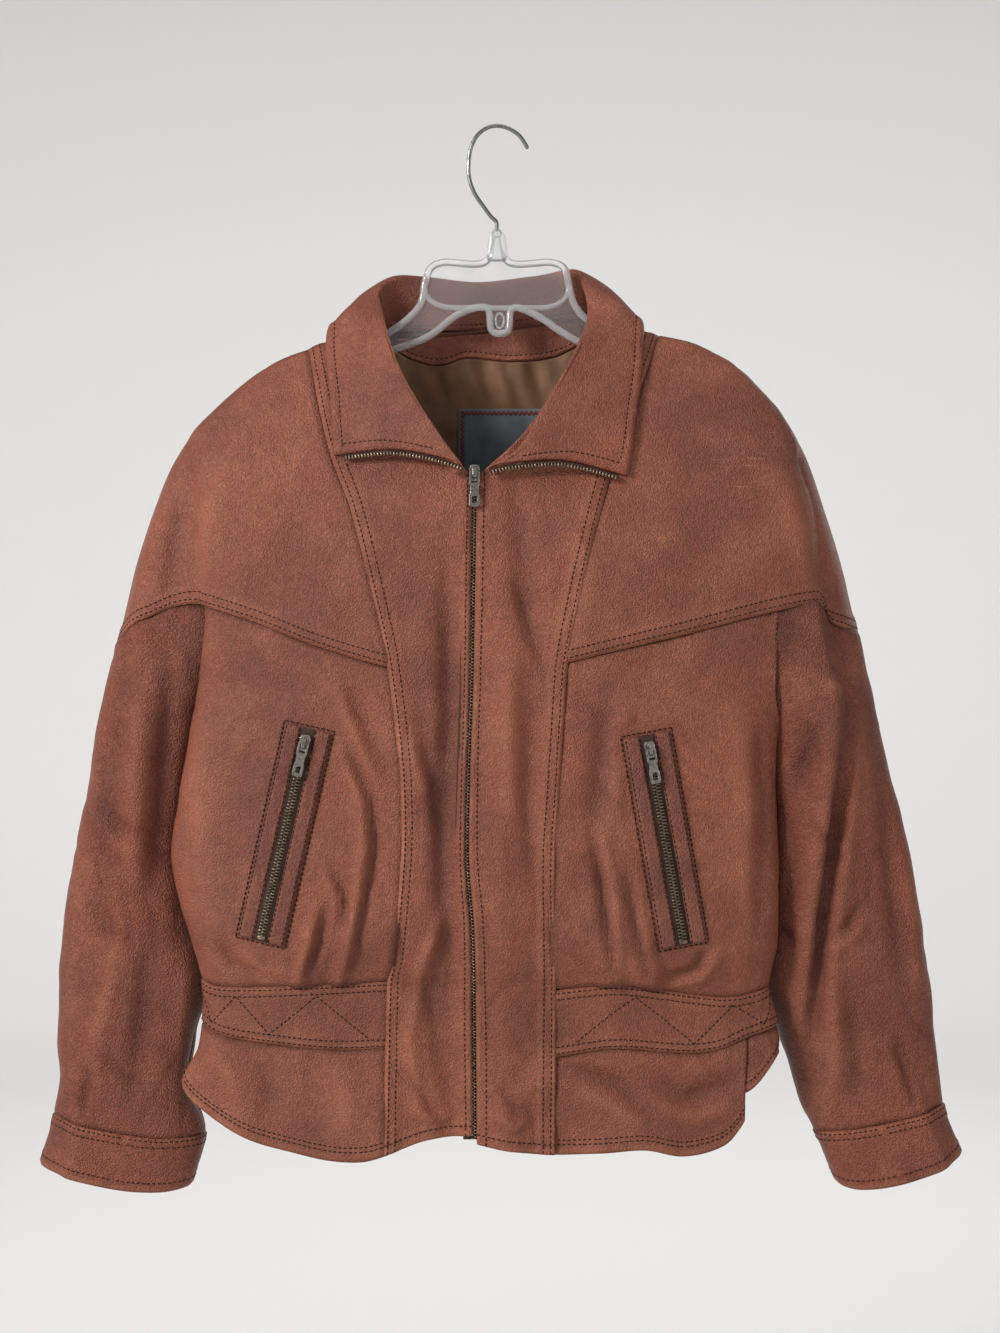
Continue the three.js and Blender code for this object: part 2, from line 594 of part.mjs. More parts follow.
// Back yoke over both shoulders, then back panel, waistband and peplum
function backAt(x, z) {
  const v = (z - BACK_YOKE(x)) / (backTop(x) - BACK_YOKE(x));
  const neck = 0.3 * smooth(-120, -70, x) * (1 - smooth(60, 105, x));
  const g = quarterRound((neck + (1 - v) * (1 - neck)) / RIDGE_REACH);
  const s = x < 0 ? RIGHT : LEFT;
  const base = seamPlane(z);
  return base + (softMax(torsoLayer(x, z, true), sleeveLayer(s, x, z, true)) - base) * g;
}

const backYoke = coons(
  (u) => {
    const x = lerp(RIGHT.sleeveOuter(-423), LEFT.sleeveOuter(-414), u);
    return [x, BACK_YOKE(x)];
  },
  (u) => {
    const x = lerp(RIGHT.shoulderTip, LEFT.shoulderTip, u);
    return [x, backTop(x)];
  },
  (v) => [RIGHT.sleeveOuter(lerp(-423, -247, v)), lerp(-423, -247, v)],
  (v) => [LEFT.sleeveOuter(lerp(-414, -231, v)), lerp(-414, -231, v)],
);
wall("back_yoke", leather, 24, 8, (u, v) => {
  const [x, z] = backYoke(u, v);
  return [x, backAt(x, z), z];
}, LEATHER, BACK, { limit: keepBack, spreadV: towardsEnd });

const roundBack = {
  outAt: (u) => {
    const a = lerp(97, 263, u) * (Math.PI / 180);
    return [Math.sin(a), -Math.cos(a), 0];
  },
};
wall("back_panel", leather, 14, 9, ringPatch(bandAt, () => 97.5, () => 262.5, backWaistTop, BACK_YOKE),
  LEATHER, BACK, roundBack);
wall("back_waistband", leather, 14, 2,
  ringPatch(bandAt, () => 97.5, () => 262.5, backWaistFoot, backWaistTop),
  LEATHER + 0.6, BACK, roundBack);
wall("back_peplum", leather, 16, 3,
  ringPatch(peplumAt, () => 62.3, () => 262.5, backHem, (x) => backWaistFoot(x) - 0.8),
  LEATHER, BACK, {
    gapV: 0.5,
    outAt: (u) => {
      const a = lerp(62, 263, u) * (Math.PI / 180);
      return [Math.sin(a), -Math.cos(a), 0];
    },
  });

// Collar, folded over, in one wall from the neck seam over the roll to the outer edge
const stations = COLLAR.map((row, i) => row.map(([x, y, z]) => {
  const front = i < COLLAR_FRONT || i >= COLLAR.length - COLLAR_FRONT;
  const s = x < -15 ? RIGHT : LEFT;
  return new THREE.Vector3(x, front ? Math.min(centreAt(s, x, z), 0) - y : y, z);
}));
const rails = [0, 1, 2, 3].map((k) => new THREE.CatmullRomCurve3(stations.map((row) => row[k])));
const collarAt = (u, v) => {
  const across = new THREE.CatmullRomCurve3(rails.map((rail) => rail.getPoint(u)));
  const p = across.getPoint(v);
  return [p.x, p.y, p.z];
};
wall("collar", leather, 28, 9, collarAt, COLLAR_WALL, null, { gapU: 0, gapV: 0 });

// Inside the back neck: facing, lining where it shows, and a plain label patch
const insideBack = (x, z, depth) => [x, backAt(x, z) - depth, z];
wall("neck_facing", leather, 12, 2, (u, v) => {
  const x = lerp(-84, 70, u);
  const z = lerp(facingFoot(x), backTop(x) - 2.5, v);
  return insideBack(x, z, LEATHER + 2.4);
}, 1.2, FRONT);
const liningFold = (x, z) => 1.6 * Math.sin(x / 7.5) * smooth(-300, -190, z);
const liningAt = (x, z) => insideBack(x, z, LEATHER + 3.4 + liningFold(x, z));
wall("back_lining", satin, 18, 7, (u, v) => {
  const x = lerp(-104, 90, u);
  const z = lerp(-395, facingFoot(x) - 0.6, v);
  return liningAt(x, z);
}, LINING_WALL, FRONT);
wall("neck_label", patch, 5, 3, (u, v) => {
  const x = lerp(-33, 45, u);
  const [, y, z] = liningAt(x, lerp(-291, -227, v));
  return [x, y - 2.2 + liningFold(x, z), z];
}, 0.8, FRONT);

// Front zip: the closed chain behind the two edges, and the open halves along the collar's ends
const chainY = (z) => centreAt(RIGHT, zipLine(z), z) + LEATHER + 1.1;
wall("zip_chain", oldBrass, 2, 22, (u, v) => {
  const z = lerp(-816, -294, v);
  return [zipLine(z) + lerp(-1, 1, u) * (CHAIN_WIDTH / 2), chainY(z), z];
}, CHAIN_WALL, FRONT);
function openZip(s, end, drop) {
  wall("zip_open_" + s.name, oldBrass, 12, 1, (u, v) => {
    const [x, y, z] = collarAt(end, lerp(0.46, 0.95, u));
    return [x, y + 0.4, z - drop - lerp(4.2, 0, v)];
  }, 1.6, FRONT);
}
openZip(RIGHT, 0, 1.1);
openZip(LEFT, 1, 1.9);

// Joins solids of one piece
function joined(geometries) {
  const bodies = geometries.map((g) => {
    const bare = new THREE.BufferGeometry();
    bare.setAttribute("position", g.getAttribute("position"));
    if (g.index) bare.setIndex(g.index);
    const m = BufferGeometryUtils.mergeVertices(bare, 1e-4);
    return new wasm.Manifold(new wasm.Mesh({
      numProp: 3,
      vertProperties: new Float32Array(m.getAttribute("position").array),
      triVerts: new Uint32Array(m.index.array),
    }));
  });
  const out = wasm.Manifold.union(bodies).getMesh();
  const g = new THREE.BufferGeometry();
  g.setAttribute("position", new THREE.BufferAttribute(out.vertProperties, 3));
  g.setIndex(new THREE.BufferAttribute(out.triVerts, 1));
  return g;
}

function outline(points) {
  return new THREE.Shape(points.map(([x, y]) => new THREE.Vector2(x, y)));
}

// Slider and pull tab in their own frame: x across the zip, y up along it, z away from the cloth.
// The tab hangs by its upper bar, which passes under the slider's bridge.
function sliderShape() {
  const w = SLIDER_WIDTH / 2;
  const l = SLIDER_LENGTH / 2;
  const body = new THREE.ExtrudeGeometry(
    outline([[-w * 0.7, -l], [w * 0.7, -l], [w * 0.78, -l * 0.2], [w, l * 0.5], [w * 0.7, l],
      [-w * 0.7, l], [-w, l * 0.5], [-w * 0.78, -l * 0.2]]),
    { depth: SLIDER_WALL, bevelEnabled: false },
  );
  const bridge = outline([[-4.4, -0.4], [4.4, -0.4], [4.4, 2.2], [3.2, 3.9], [-3.2, 3.9], [-4.4, 2.2]]);
  bridge.holes.push(new THREE.Path([[-2.7, 0], [-2.7, 2.6], [2.7, 2.6], [2.7, 0]].map(
    ([x, y]) => new THREE.Vector2(x, y))));
  const arch = new THREE.ExtrudeGeometry(bridge, { depth: 3, bevelEnabled: false });
  arch.translate(0, 0, -1.5);
  arch.rotateX(Math.PI / 2);
  arch.rotateZ(Math.PI / 2);
  arch.translate(0, 0, SLIDER_WALL);
  return joined([body, arch]);
}

function tabShape() {
  const w = TAB_WIDTH / 2;
  const plate = outline([[-w, 0.8], [w, 0.8], [w, -9], [w * 0.8, -11], [w * 0.8, -16], [w, -18],
    [w, 1 - TAB_LENGTH], [w - 1.5, -TAB_LENGTH], [1.5 - w, -TAB_LENGTH], [-w, 1 - TAB_LENGTH], [-w, -18],
    [-w * 0.8, -16], [-w * 0.8, -11], [-w, -9]]);
  const window = (x, top, foot) => new THREE.Path([[-x, top], [-x, foot], [x, foot], [x, top]].map(
    ([a, b]) => new THREE.Vector2(a, b)));
  plate.holes.push(window(2.5, -0.8, -8), window(2, -18.5, -24));
  const g = new THREE.ExtrudeGeometry(plate, { depth: TAB_WALL, bevelEnabled: false });
  g.translate(0, 0, -TAB_WALL / 2);
  return g;
}

function placeZipHardware(name, place, up, outDir) {
  const y = up.clone().normalize();
  const x = y.clone().cross(outDir).normalize();
  const z = x.clone().cross(y);
  const m = new THREE.Matrix4().makeBasis(x, y, z).setPosition(place);
  add("zip_slider_" + name, sliderShape().applyMatrix4(m), oldBrass);
  const pivot = place.clone().addScaledVector(z, SLIDER_WALL + TAB_LIFT);
  add("zip_tab_" + name, tabShape().applyMatrix4(m.setPosition(pivot)), oldBrass);
}

const SLIDER_Z = -288;
placeZipHardware("front", new THREE.Vector3(zipLine(SLIDER_Z), centreAt(RIGHT, zipLine(SLIDER_Z), -296) - 0.1,
  SLIDER_Z), new THREE.Vector3(0, 0.06, 1), new THREE.Vector3(0, -1, 0));

// Pockets: two welts and a zip with its tape on the lower front
function buildPocket(s) {
  const [head, foot] = s.pocket;
  const down = new THREE.Vector2(foot[0] - head[0], foot[1] - head[1]);
  const length = down.length();
  down.normalize();
  const across = new THREE.Vector2(-down.y, down.x);
  const surface = (x, z) => new THREE.Vector3(...lowerAt(s, torsoAngle(x, z), z));
  const place = (along, side, lift) => {
    const x = head[0] + down.x * along + across.x * side;
    const z = head[1] + down.y * along + across.y * side;
    const n = surface(x + 1, z).sub(surface(x - 1, z)).cross(surface(x, z + 1).sub(surface(x, z - 1)));
    n.normalize();
    if (n.y > 0) n.negate();
    return surface(x, z).addScaledVector(n, lift);
  };
  const strip = (name, material, from, to, lift, thick) => wall(name, material, 2, 14, (u, v) => {
    const p = place(lerp(length, 0, v), lerp(from, to, u), lift + thick);
    return [p.x, p.y, p.z];
  }, thick, FRONT, { gapU: 0 });
  const edge = TAPE_WIDTH / 2 + SEAM_GAP;
  strip("pocket_zip_" + s.name, zipCloth, -TAPE_WIDTH / 2, TAPE_WIDTH / 2, 0.9, 1.1);
  strip("pocket_welt_a_" + s.name, trim, edge, edge + WELT_WIDTH, 0.9, WELT_WALL);
  strip("pocket_welt_b_" + s.name, trim, -edge - WELT_WIDTH, -edge, 0.9, WELT_WALL);
  const at = place(12, 0, 2.5);
  placeZipHardware("pocket_" + s.name, at, place(0, 0, 2.5).sub(place(26, 0, 2.5)),
    place(12, 0, 6).sub(at).normalize());
}
buildPocket(RIGHT);
buildPocket(LEFT);

// Hanger of clear plastic and its wire hook
const plate = new THREE.ExtrudeGeometry(outline(HANGER), { depth: HANGER_WALL, bevelEnabled: false });
plate.translate(0, 0, -HANGER_WALL / 2);
plate.rotateX(Math.PI / 2);
add("hanger", plate, clear);
const hookPath = new THREE.CatmullRomCurve3(HOOK.map(([x, z]) => new THREE.Vector3(x, 0, z)));
const wireRound = outline(Array.from({ length: 8 }, (_, i) => {
  const a = (i * Math.PI) / 4 + Math.PI / 8;
  return [HOOK_WIRE * Math.cos(a), HOOK_WIRE * Math.sin(a)];
}));
const hookWay = { steps: 34, extrudePath: hookPath, bevelEnabled: false };
const hook = new THREE.ExtrudeGeometry(wireRound, hookWay);
hook.deleteAttribute("normal").deleteAttribute("uv");
add("hook", BufferGeometryUtils.mergeVertices(hook, 1e-4), wire);

export default group;
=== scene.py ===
import math
from types import SimpleNamespace

import bmesh
import bpy
import numpy as np
from bpy.props import FloatProperty, FloatVectorProperty, PointerProperty
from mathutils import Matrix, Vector


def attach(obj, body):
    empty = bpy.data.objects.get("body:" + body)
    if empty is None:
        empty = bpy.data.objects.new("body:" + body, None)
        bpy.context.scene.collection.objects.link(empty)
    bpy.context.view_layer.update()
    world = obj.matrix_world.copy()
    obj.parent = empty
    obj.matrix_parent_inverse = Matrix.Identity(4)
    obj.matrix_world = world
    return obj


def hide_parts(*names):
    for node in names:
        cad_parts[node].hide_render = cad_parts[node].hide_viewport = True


# A worn leather jacket on a clear hanger. Forms are worked out in millimetres in the row frame,
# +Z up and the front towards -Y, and turned into metres when a mesh is made. Sides are the wearer's.

bl_info = {
    "name": "Leather jacket on a hanger",
    "version": (1, 0, 0),
    "blender": (4, 5, 0),
    "location": "View3D > Sidebar > Jacket",
    "description": "Builds a worn leather jacket that hangs on a clear hanger",
    "category": "Object",
}

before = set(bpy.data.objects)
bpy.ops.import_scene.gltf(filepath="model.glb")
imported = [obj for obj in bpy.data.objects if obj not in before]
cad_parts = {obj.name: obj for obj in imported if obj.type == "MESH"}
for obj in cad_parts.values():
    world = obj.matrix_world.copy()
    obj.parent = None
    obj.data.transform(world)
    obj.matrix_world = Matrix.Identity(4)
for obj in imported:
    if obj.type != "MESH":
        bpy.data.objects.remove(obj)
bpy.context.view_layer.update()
BODY = "jacket"
MM = 0.001

# Section fullness: 1 is a half ellipse, less is fuller
FRONT_FULL = 0.6
BACK_FULL = 0.95
SLEEVE_FULL = 0.62
FOLD_SOFTNESS = 7
RIDGE_REACH = 0.85
SEAM_GAP = 0.4
ARMPIT_TOP = -400
ARMPIT_FOOT = -500
SLEEVE_LEAN = 10
FOLD_DEPTH = 2.0


def curve(points):
    """A smooth curve through pairs of place and value."""
    pairs = np.array(sorted(points), float)
    place, value = pairs[:, 0], pairs[:, 1]
    last = len(place) - 1
    before = np.maximum(np.arange(last + 1) - 1, 0)
    after = np.minimum(np.arange(last + 1) + 1, last)
    slope = (value[after] - value[before]) / (place[after] - place[before])

    def at(t):
        c = np.clip(np.asarray(t, float), place[0], place[-1])
        i = np.clip(np.searchsorted(place, c, side="left") - 1, 0, last - 1)
        h = place[i + 1] - place[i]
        s = (c - place[i]) / h
        near = (1 + 2 * s) * (1 - s) ** 2 * value[i] + s * (1 - s) ** 2 * h * slope[i]
        return near + s * s * (3 - 2 * s) * value[i + 1] + s * s * (s - 1) * h * slope[i + 1]

    return at


# Torso seen from the front and the side, over height
torso_right = curve([(-258, -252), (-314, -242), (-391, -237), (-468, -243), (-549, -257),
                     (-590, -263), (-622, -259), (-671, -244), (-699, -238), (-747, -241),
                     (-772, -253), (-840, -250)])
torso_left = curve([(-278, 245), (-314, 255), (-355, 260), (-391, 263), (-420, 257), (-452, 247),
                    (-484, 231), (-509, 225), (-590, 227), (-662, 226), (-699, 219), (-719, 224),
                    (-743, 227), (-840, 224)])
back_edge_left = curve([(-590, 260), (-545, 230), (-515, 224), (-470, 217), (-400, 216)])
front_depth = curve([(-170, 44), (-289, 56), (-391, 62), (-519, 64), (-630, 66), (-680, 60), (-700, 54),
                     (-750, 51), (-840, 57)])
side_depth = curve([(-258, -14), (-400, -18), (-600, -20), (-720, -22), (-800, -31), (-840, -33)])
back_depth = curve([(-258, 34), (-400, 36), (-600, 38), (-700, 32), (-840, 36)])
seam_plane = curve([(-170, 0), (-300, 2), (-420, 5), (-620, 8), (-870, 8)])

# Shoulder ridge, back neck, and the seams and edges over x
ridge = curve([(-248, -247), (-219, -219), (-186, -194), (-155, -181), (-125, -170), (-100, -158),
               (-60, -125), (-15, -108), (30, -118), (75, -148), (100, -160), (132, -170), (166, -178),
               (199, -198), (231, -231)])
back_top = curve([(-248, -247), (-219, -219), (-186, -194), (-155, -181), (-125, -171), (-100, -167),
                  (-84, -167), (-16, -163), (74, -153), (100, -160), (132, -170), (166, -178),
                  (199, -198), (231, -231)])
zip_line = curve([(-289, -18), (-357, -19), (-460, -21), (-519, -23), (-594, -24), (-649, -20),
                  (-706, -19), (-840, -18)])
back_yoke_foot = curve([(-312, -423), (-290, -411), (-200, -408), (190, -406), (275, -407),
                        (296, -414)])
back_waist_top = curve([(-242, -692), (0, -696), (226, -696)])
back_waist_foot = curve([(-242, -726), (-200, -738), (0, -742), (190, -740), (226, -730)])
back_hem = curve([(-256, -768), (-225, -785), (0, -790), (180, -787), (205, -778), (229, -750)])
facing_foot = curve([(-88, -178), (-67, -188), (-45, -191), (-26, -185), (12, -188), (48, -184),
                     (70, -174)])
sleeve_front = curve([(-250, 24), (-400, 34), (-500, 38), (-620, 36), (-740, 33), (-800, 29),
                      (-870, 26)])
sleeve_back = curve([(-250, 20), (-400, 26), (-620, 28), (-800, 25), (-870, 24)])

RIGHT = SimpleNamespace(
    name="right",
    sign=-1,
    princess=curve([(-181, -155), (-265, -136), (-317, -117), (-400, -96), (-444, -87), (-518, -78),
                    (-562, -76), (-602, -77), (-674, -84), (-694, -88), (-840, -91)]),
    yoke=curve([(-312, -423), (-296, -408), (-280, -401), (-260, -393), (-242, -391), (-232, -394),
                (-191, -407), (-150, -423), (-116, -434), (-87, -442)]),
    yoke_end=(-87, -442),
    shoulder_seam=-155,
    shoulder_tip=-248,
    waist_top=curve([(-242, -691), (-224, -697), (-159, -695), (-88, -691)]),
    waist_foot=curve([(-242, -725), (-223, -736), (-195, -741), (-133, -747), (-90, -746)]),
    hem=curve([(-254, -770), (-252, -781), (-231, -799), (-199, -817), (-159, -829), (-133, -834),
               (-107, -834), (-91, -830), (-57, -818), (-18, -814)]),
    side_seam=curve([(-840, 97), (-380, 97)]),
    hem_seam=curve([(-840, 97), (-380, 97)]),
    sleeve_outer=curve([(-247, -248), (-280, -268), (-321, -284), (-362, -297), (-403, -307),
                        (-423, -312), (-485, -327), (-543, -336), (-600, -347), (-649, -355),
                        (-699, -359), (-748, -361), (-777, -359), (-807, -364), (-847, -375),
                        (-872, -382)]),
    sleeve_inner=curve([(-280, -190), (-350, -225), (-391, -238.6), (-428, -240.5), (-468, -247.4),
                        (-509, -255), (-550, -262), (-591, -268), (-624, -264), (-673, -250),
                        (-701, -244), (-740, -252), (-785, -254), (-812, -242), (-826, -240),
                        (-872, -253)]),
    cuff_top=curve([(-366, -805), (-334, -814), (-305, -820), (-273, -824), (-236, -823)]),
    cuff_foot=curve([(-380, -846), (-346, -857), (-309, -866), (-273, -869), (-248, -866)]),
    fold=curve([(-860, -340), (-250, -340)]),
    fold_step=curve([(-860, 0), (-250, 0)]),
    pleats=[((-158, -694), (-146, -640)), ((-126, -694), (-103, -588))],
    tuck=((-342, -812), (-333, -762)),
    pocket=((-149, -490), (-187, -658)),
    neck=[(-19.6, -290), (-48, -258), (-75, -215), (-95, -180), (-112, -170), (-155, -181.2)],
)
LEFT = SimpleNamespace(
    name="left",
    sign=1,
    princess=curve([(-170, 132), (-211, 118), (-252, 103), (-287, 91), (-357, 73), (-434, 57),
                    (-483, 53), (-546, 49), (-594, 46), (-700, 47), (-840, 46)]),
    yoke=curve([(57, -438), (119, -423), (153, -415), (211, -400), (256, -391), (262, -394),
                (268, -405), (280, -410), (296, -414)]),
    yoke_end=(57, -438),
    shoulder_seam=132,
    shoulder_tip=231,
    waist_top=curve([(47, -698), (92, -694), (123, -697), (162, -703), (184, -705), (206, -702),
                     (224, -696)]),
    waist_foot=curve([(47, -752), (94, -746), (153, -750), (178, -747), (200, -738), (226, -730)]),
    hem=curve([(-18, -820), (9, -825), (46, -829), (81, -828), (117, -825), (150, -831), (181, -823),
               (196, -806), (206, -784)]),
    side_seam=curve([(-840, 97), (-620, 97), (-540, 97), (-522, 96), (-500, 89), (-468, 69), (-440, 62),
                     (-398, 58)]),
    hem_seam=curve([(-840, 62), (-380, 62)]),
    sleeve_outer=curve([(-231, 231), (-268, 252), (-313, 268), (-354, 281), (-395, 291), (-414, 296),
                        (-444, 302), (-493, 314), (-551, 327), (-617, 339), (-674, 351), (-723, 357),
                        (-773, 362), (-800, 366), (-839, 381), (-870, 390)]),
    sleeve_inner=curve([(-260, 175), (-340, 205), (-391, 223), (-401, 224.6), (-460, 223), (-480, 225),
                        (-509, 230), (-550, 231), (-591, 232), (-632, 232), (-664, 231), (-701, 229),
                        (-738, 233), (-762, 238), (-799, 249), (-821, 260), (-870, 280)]),
    cuff_top=curve([(256, -821), (285, -817), (326, -809), (368, -797)]),
    cuff_foot=curve([(274, -864), (294, -867), (326, -862), (358, -851), (386, -836)]),
    fold=curve([(-392, 261), (-460, 274), (-482, 281), (-514, 280), (-548, 273), (-582, 268),
                (-627, 264), (-672, 257), (-740, 248)]),
    fold_step=curve([(-391, 14), (-500, 14), (-600, 10), (-700, 4), (-740, 0)]),
    pleats=[((94, -695), (86, -612)), ((124, -698), (108, -615))],
    tuck=((347, -803), (322, -738)),
    pocket=((118, -495), (147, -661)),
    neck=[(-16.4, -290), (18, -258), (50, -214), (74, -176), (92, -162), (132, -170.2)],
)
SIDES = (RIGHT, LEFT)

# Collar stations from the right front end round the back to the left front end: neck seam, roll, middle of
# the fall and outer edge. At the front the second number is how far the place stands off the panel.
COLLAR_FRONT = 5
COLLAR = [
    [(-33, 2, -288), (-26.5, 8, -283), (-76, 10, -269), (-131, 5, -272)],
    [(-52, 2, -268), (-43, 11, -261), (-86, 10, -252), (-133, 5, -250)],
    [(-72, 2, -244), (-61, 12, -233), (-99, 10, -226), (-135, 5, -225)],
    [(-88, 2, -218), (-77, 12, -204), (-108, 10, -201), (-138, 5, -200)],
    [(-97, 2, -194), (-86, 12, -178), (-114, 11, -176), (-140, 6, -181)],
    [(-104, -13, -174), (-93, -11, -152), (-118, -12, -150), (-139, -8, -165)],
    [(-102, 9, -164), (-97, 2, -133), (-119, 8, -142), (-137, 13, -168)],
    [(-86, 19, -163), (-84, 18, -119), (-104, 32, -128), (-122, 42, -174)],
    [(-56, 23.5, -162), (-55, 28, -118), (-60, 44, -126), (-64, 50, -184)],
    [(-14, 24, -161), (-14, 32, -120), (-14, 48, -127), (-14, 52, -188)],
    [(28, 23.5, -156.6), (29, 28, -117), (34, 44, -125), (40, 50, -182)],
    [(66, 21, -152), (61, 18, -113), (82, 32, -121), (104, 42, -170)],
    [(86, 9, -155), (70, 2, -130), (94, 6, -132), (117, 13, -160)],
    [(88, -13, -166), (73, -11, -154), (98, -13, -149), (120, -8, -161)],
    [(80, 2, -186), (67, 12, -176), (94, 11, -173), (119, 6, -179)],
    [(70, 2, -208), (58, 12, -196), (88, 10, -196), (117, 5, -206)],
    [(50, 2, -238), (40, 12, -228), (77, 10, -224), (113, 5, -232)],
    [(28, 2, -267), (18, 11, -266), (64, 10, -256), (109, 5, -262)],
    [(1, 2, -290), (-8.5, 8, -285), (48, 10, -277), (104, 5, -289)],
]

# Soft folds seen on the front: points in x and z, width, and height, which is negative for a trough
FRONT_FOLDS = [
    ([(-128, -456), (-112, -494), (-94, -532)], 6, 2.0),
    ([(-117, -456), (-101, -494), (-83, -532)], 7, -1.8),
    ([(-128, -497), (-107, -547), (-104, -585), (-118, -670), (-125, -689)], 5, 1.8),
    ([(-121, -497), (-100, -547), (-97, -585), (-111, -670), (-118, -689)], 4, -3.2),
    ([(-137, -598), (-127, -624), (-128, -638)], 4, 1.8),
    ([(-131, -598), (-120, -624), (-122, -649)], 4, -2.4),
    ([(-142, -629), (-146, -649), (-157, -689)], 4, 2.0),
    ([(-135, -629), (-139, -649), (-150, -689)], 4, -3.0),
    ([(-159, -657), (-151, -651), (-143, -656), (-147, -665)], 3, 1.6),
    ([(-221, -662), (-211, -678), (-190, -689)], 5, -2.2),
    ([(-205, -664), (-185, -681), (-160, -686)], 5, 1.8),
    ([(-214, -673), (-195, -688), (-168, -693)], 4, 1.2),
    ([(-235, -468), (-238, -547), (-230, -649)], 14, 1.6),
    ([(-41, -357), (-36, -468), (-43, -586), (-39, -689)], 8, -2.2),
    ([(-71, -492), (-62, -523), (-52, -547)], 6, 2.0),
    ([(-40, -632), (-52, -662), (-63, -689)], 6, 1.8),
    ([(-61, -460), (-55, -515), (-41, -586)], 7, -1.8),
    ([(12, -423), (8, -499), (13, -569)], 9, 1.8),
    ([(13, -366), (31, -423), (38, -445)], 6, -2.0),
    ([(29, -468), (24, -547), (32, -625)], 7, -1.8),
    ([(86, -464), (83, -525), (75, -569)], 9, -2.2),
    ([(100, -464), (98, -525), (89, -569)], 8, 1.8),
    ([(75, -569), (83, -616), (93, -692)], 4, -3.4),
    ([(82, -569), (91, -616), (100, -692)], 5, 1.8),
    ([(102, -599), (110, -645), (121, -694)], 4, -3.2),
    ([(110, -599), (117, -645), (128, -694)], 5, 1.8),
    ([(168, -663), (155, -683), (128, -689)], 4, -2.0),
    ([(177, -669), (163, -689), (135, -695)], 4, 1.6),
    ([(193, -468), (201, -562), (198, -657)], 12, 1.6),
    ([(209, -483), (212, -562), (207, -649)], 8, -1.6),
    ([(-150, -300), (-165, -350), (-190, -395)], 16, -1.2),
    ([(-215, -270), (-232, -330), (-238, -385)], 12, 1.6),
    ([(-254, -300), (-262, -350), (-262, -392)], 9, -2.0),
    ([(60, -330), (72, -370), (66, -420)], 10, 1.2),
    ([(150, -290), (165, -340), (170, -395)], 18, -1.2),
    ([(225, -280), (240, -330), (250, -385)], 10, 1.6),
    ([(14, -300), (22, -360), (30, -420)], 9, -1.6),
    ([(-40, -640), (-52, -700), (-44, -770)], 7, -1.8),
    ([(-62, -690), (-70, -740), (-60, -800)], 6, 1.6),
    ([(-78, -760), (-60, -780), (-42, -806)], 4, -1.6),
    ([(-70, -790), (-54, -800), (-34, -800)], 4, 1.4),
    ([(0, -770), (16, -792), (36, -800)], 5, -1.8),
    ([(-4, -795), (14, -806), (28, -798)], 4, 1.6),
    ([(60, -760), (96, -772), (118, -790)], 6, -2.4),
    ([(58, -776), (92, -790), (120, -808)], 6, 1.8),
    ([(120, -765), (150, -785), (196, -770)], 8, -2.2),
    ([(128, -790), (160, -800), (190, -792)], 7, 1.8),
    ([(-190, -756), (-180, -780), (-186, -806)], 9, -1.8),
    ([(-130, -756), (-118, -790), (-126, -822)], 9, 1.6),
    ([(-232, -748), (-214, -764), (-204, -790)], 7, 1.6),
]
SLEEVE_FOLDS = [
    ([(256, -482), (245, -516), (233, -549)], 8, -2.8),
    ([(262, -453), (269, -458), (276, -464)], 5, 1.6),
    ([(282, -468), (273, -558), (265, -626), (253, -756)], 5, -3.4),
    ([(293, -468), (285, -558), (276, -626), (265, -756)], 7, 2.0),
    ([(269, -468), (261, -558), (252, -626), (241, -756)], 8, 1.8),
    ([(224, -648), (231, -655), (239, -666)], 4, -1.8),
    ([(251, -565), (258, -574), (266, -581)], 3, -1.4),
    ([(309, -484), (317, -588), (332, -708)], 10, -2.2),
    ([(327, -540), (335, -628), (343, -716)], 8, 1.8),
    ([(322, -743), (332, -772), (340, -799)], 5, -2.6),
    ([(287, -708), (292, -756), (289, -796)], 7, -2.0),
    ([(273, -692), (274, -748), (271, -796)], 6, 1.8),
    ([(298, -628), (282, -652), (263, -660)], 5, -1.6),
    ([(300, -639), (284, -663), (265, -673)], 5, 1.2),
    ([(-302, -436), (-310, -516), (-315, -612)], 10, -2.0),
    ([(-284, -444), (-291, -532), (-294, -628)], 9, 2.0),
    ([(-262, -436), (-270, -532), (-278, -628)], 7, -2.2),
    ([(-324, -548), (-305, -569), (-278, -577)], 6, -1.8),
    ([(-326, -566), (-307, -586), (-279, -593)], 6, 1.4),
    ([(-331, -628), (-315, -652), (-289, -663)], 6, -1.6),
    ([(-303, -644), (-315, -716), (-329, -772)], 8, 1.8),
    ([(-278, -652), (-286, -724), (-295, -796)], 9, -2.4),
    ([(-252, -676), (-257, -740), (-251, -796)], 8, 1.8),
    ([(-330, -764), (-334, -785), (-337, -806)], 5, -2.6),
    ([(-318, -756), (-300, -775), (-281, -785)], 5, -1.6),
]
BACK_FOLDS = [
    ([(-150, -240), (-160, -320), (-170, -400)], 16, -2.6),
    ([(-220, -260), (-236, -330), (-240, -400)], 14, 2.6),
    ([(120, -240), (136, -320), (140, -400)], 16, -2.6),
    ([(210, -260), (226, -330), (236, -400)], 14, 2.6),
    ([(-180, -430), (-170, -540), (-176, -680)], 16, 3.0),
    ([(-120, -450), (-126, -560), (-116, -690)], 14, -3.0),
    ([(-60, -560), (-54, -630), (-62, -690)], 9, 2.6),
    ([(0, -540), (-6, -620), (4, -690)], 9, -2.6),
    ([(60, -560), (66, -630), (58, -690)], 9, 2.6),
    ([(110, -440), (120, -560), (112, -690)], 14, -3.0),
    ([(170, -430), (176, -550), (168, -680)], 14, 2.6),
    ([(-70, -330), (0, -345), (70, -330)], 18, 1.8),
]
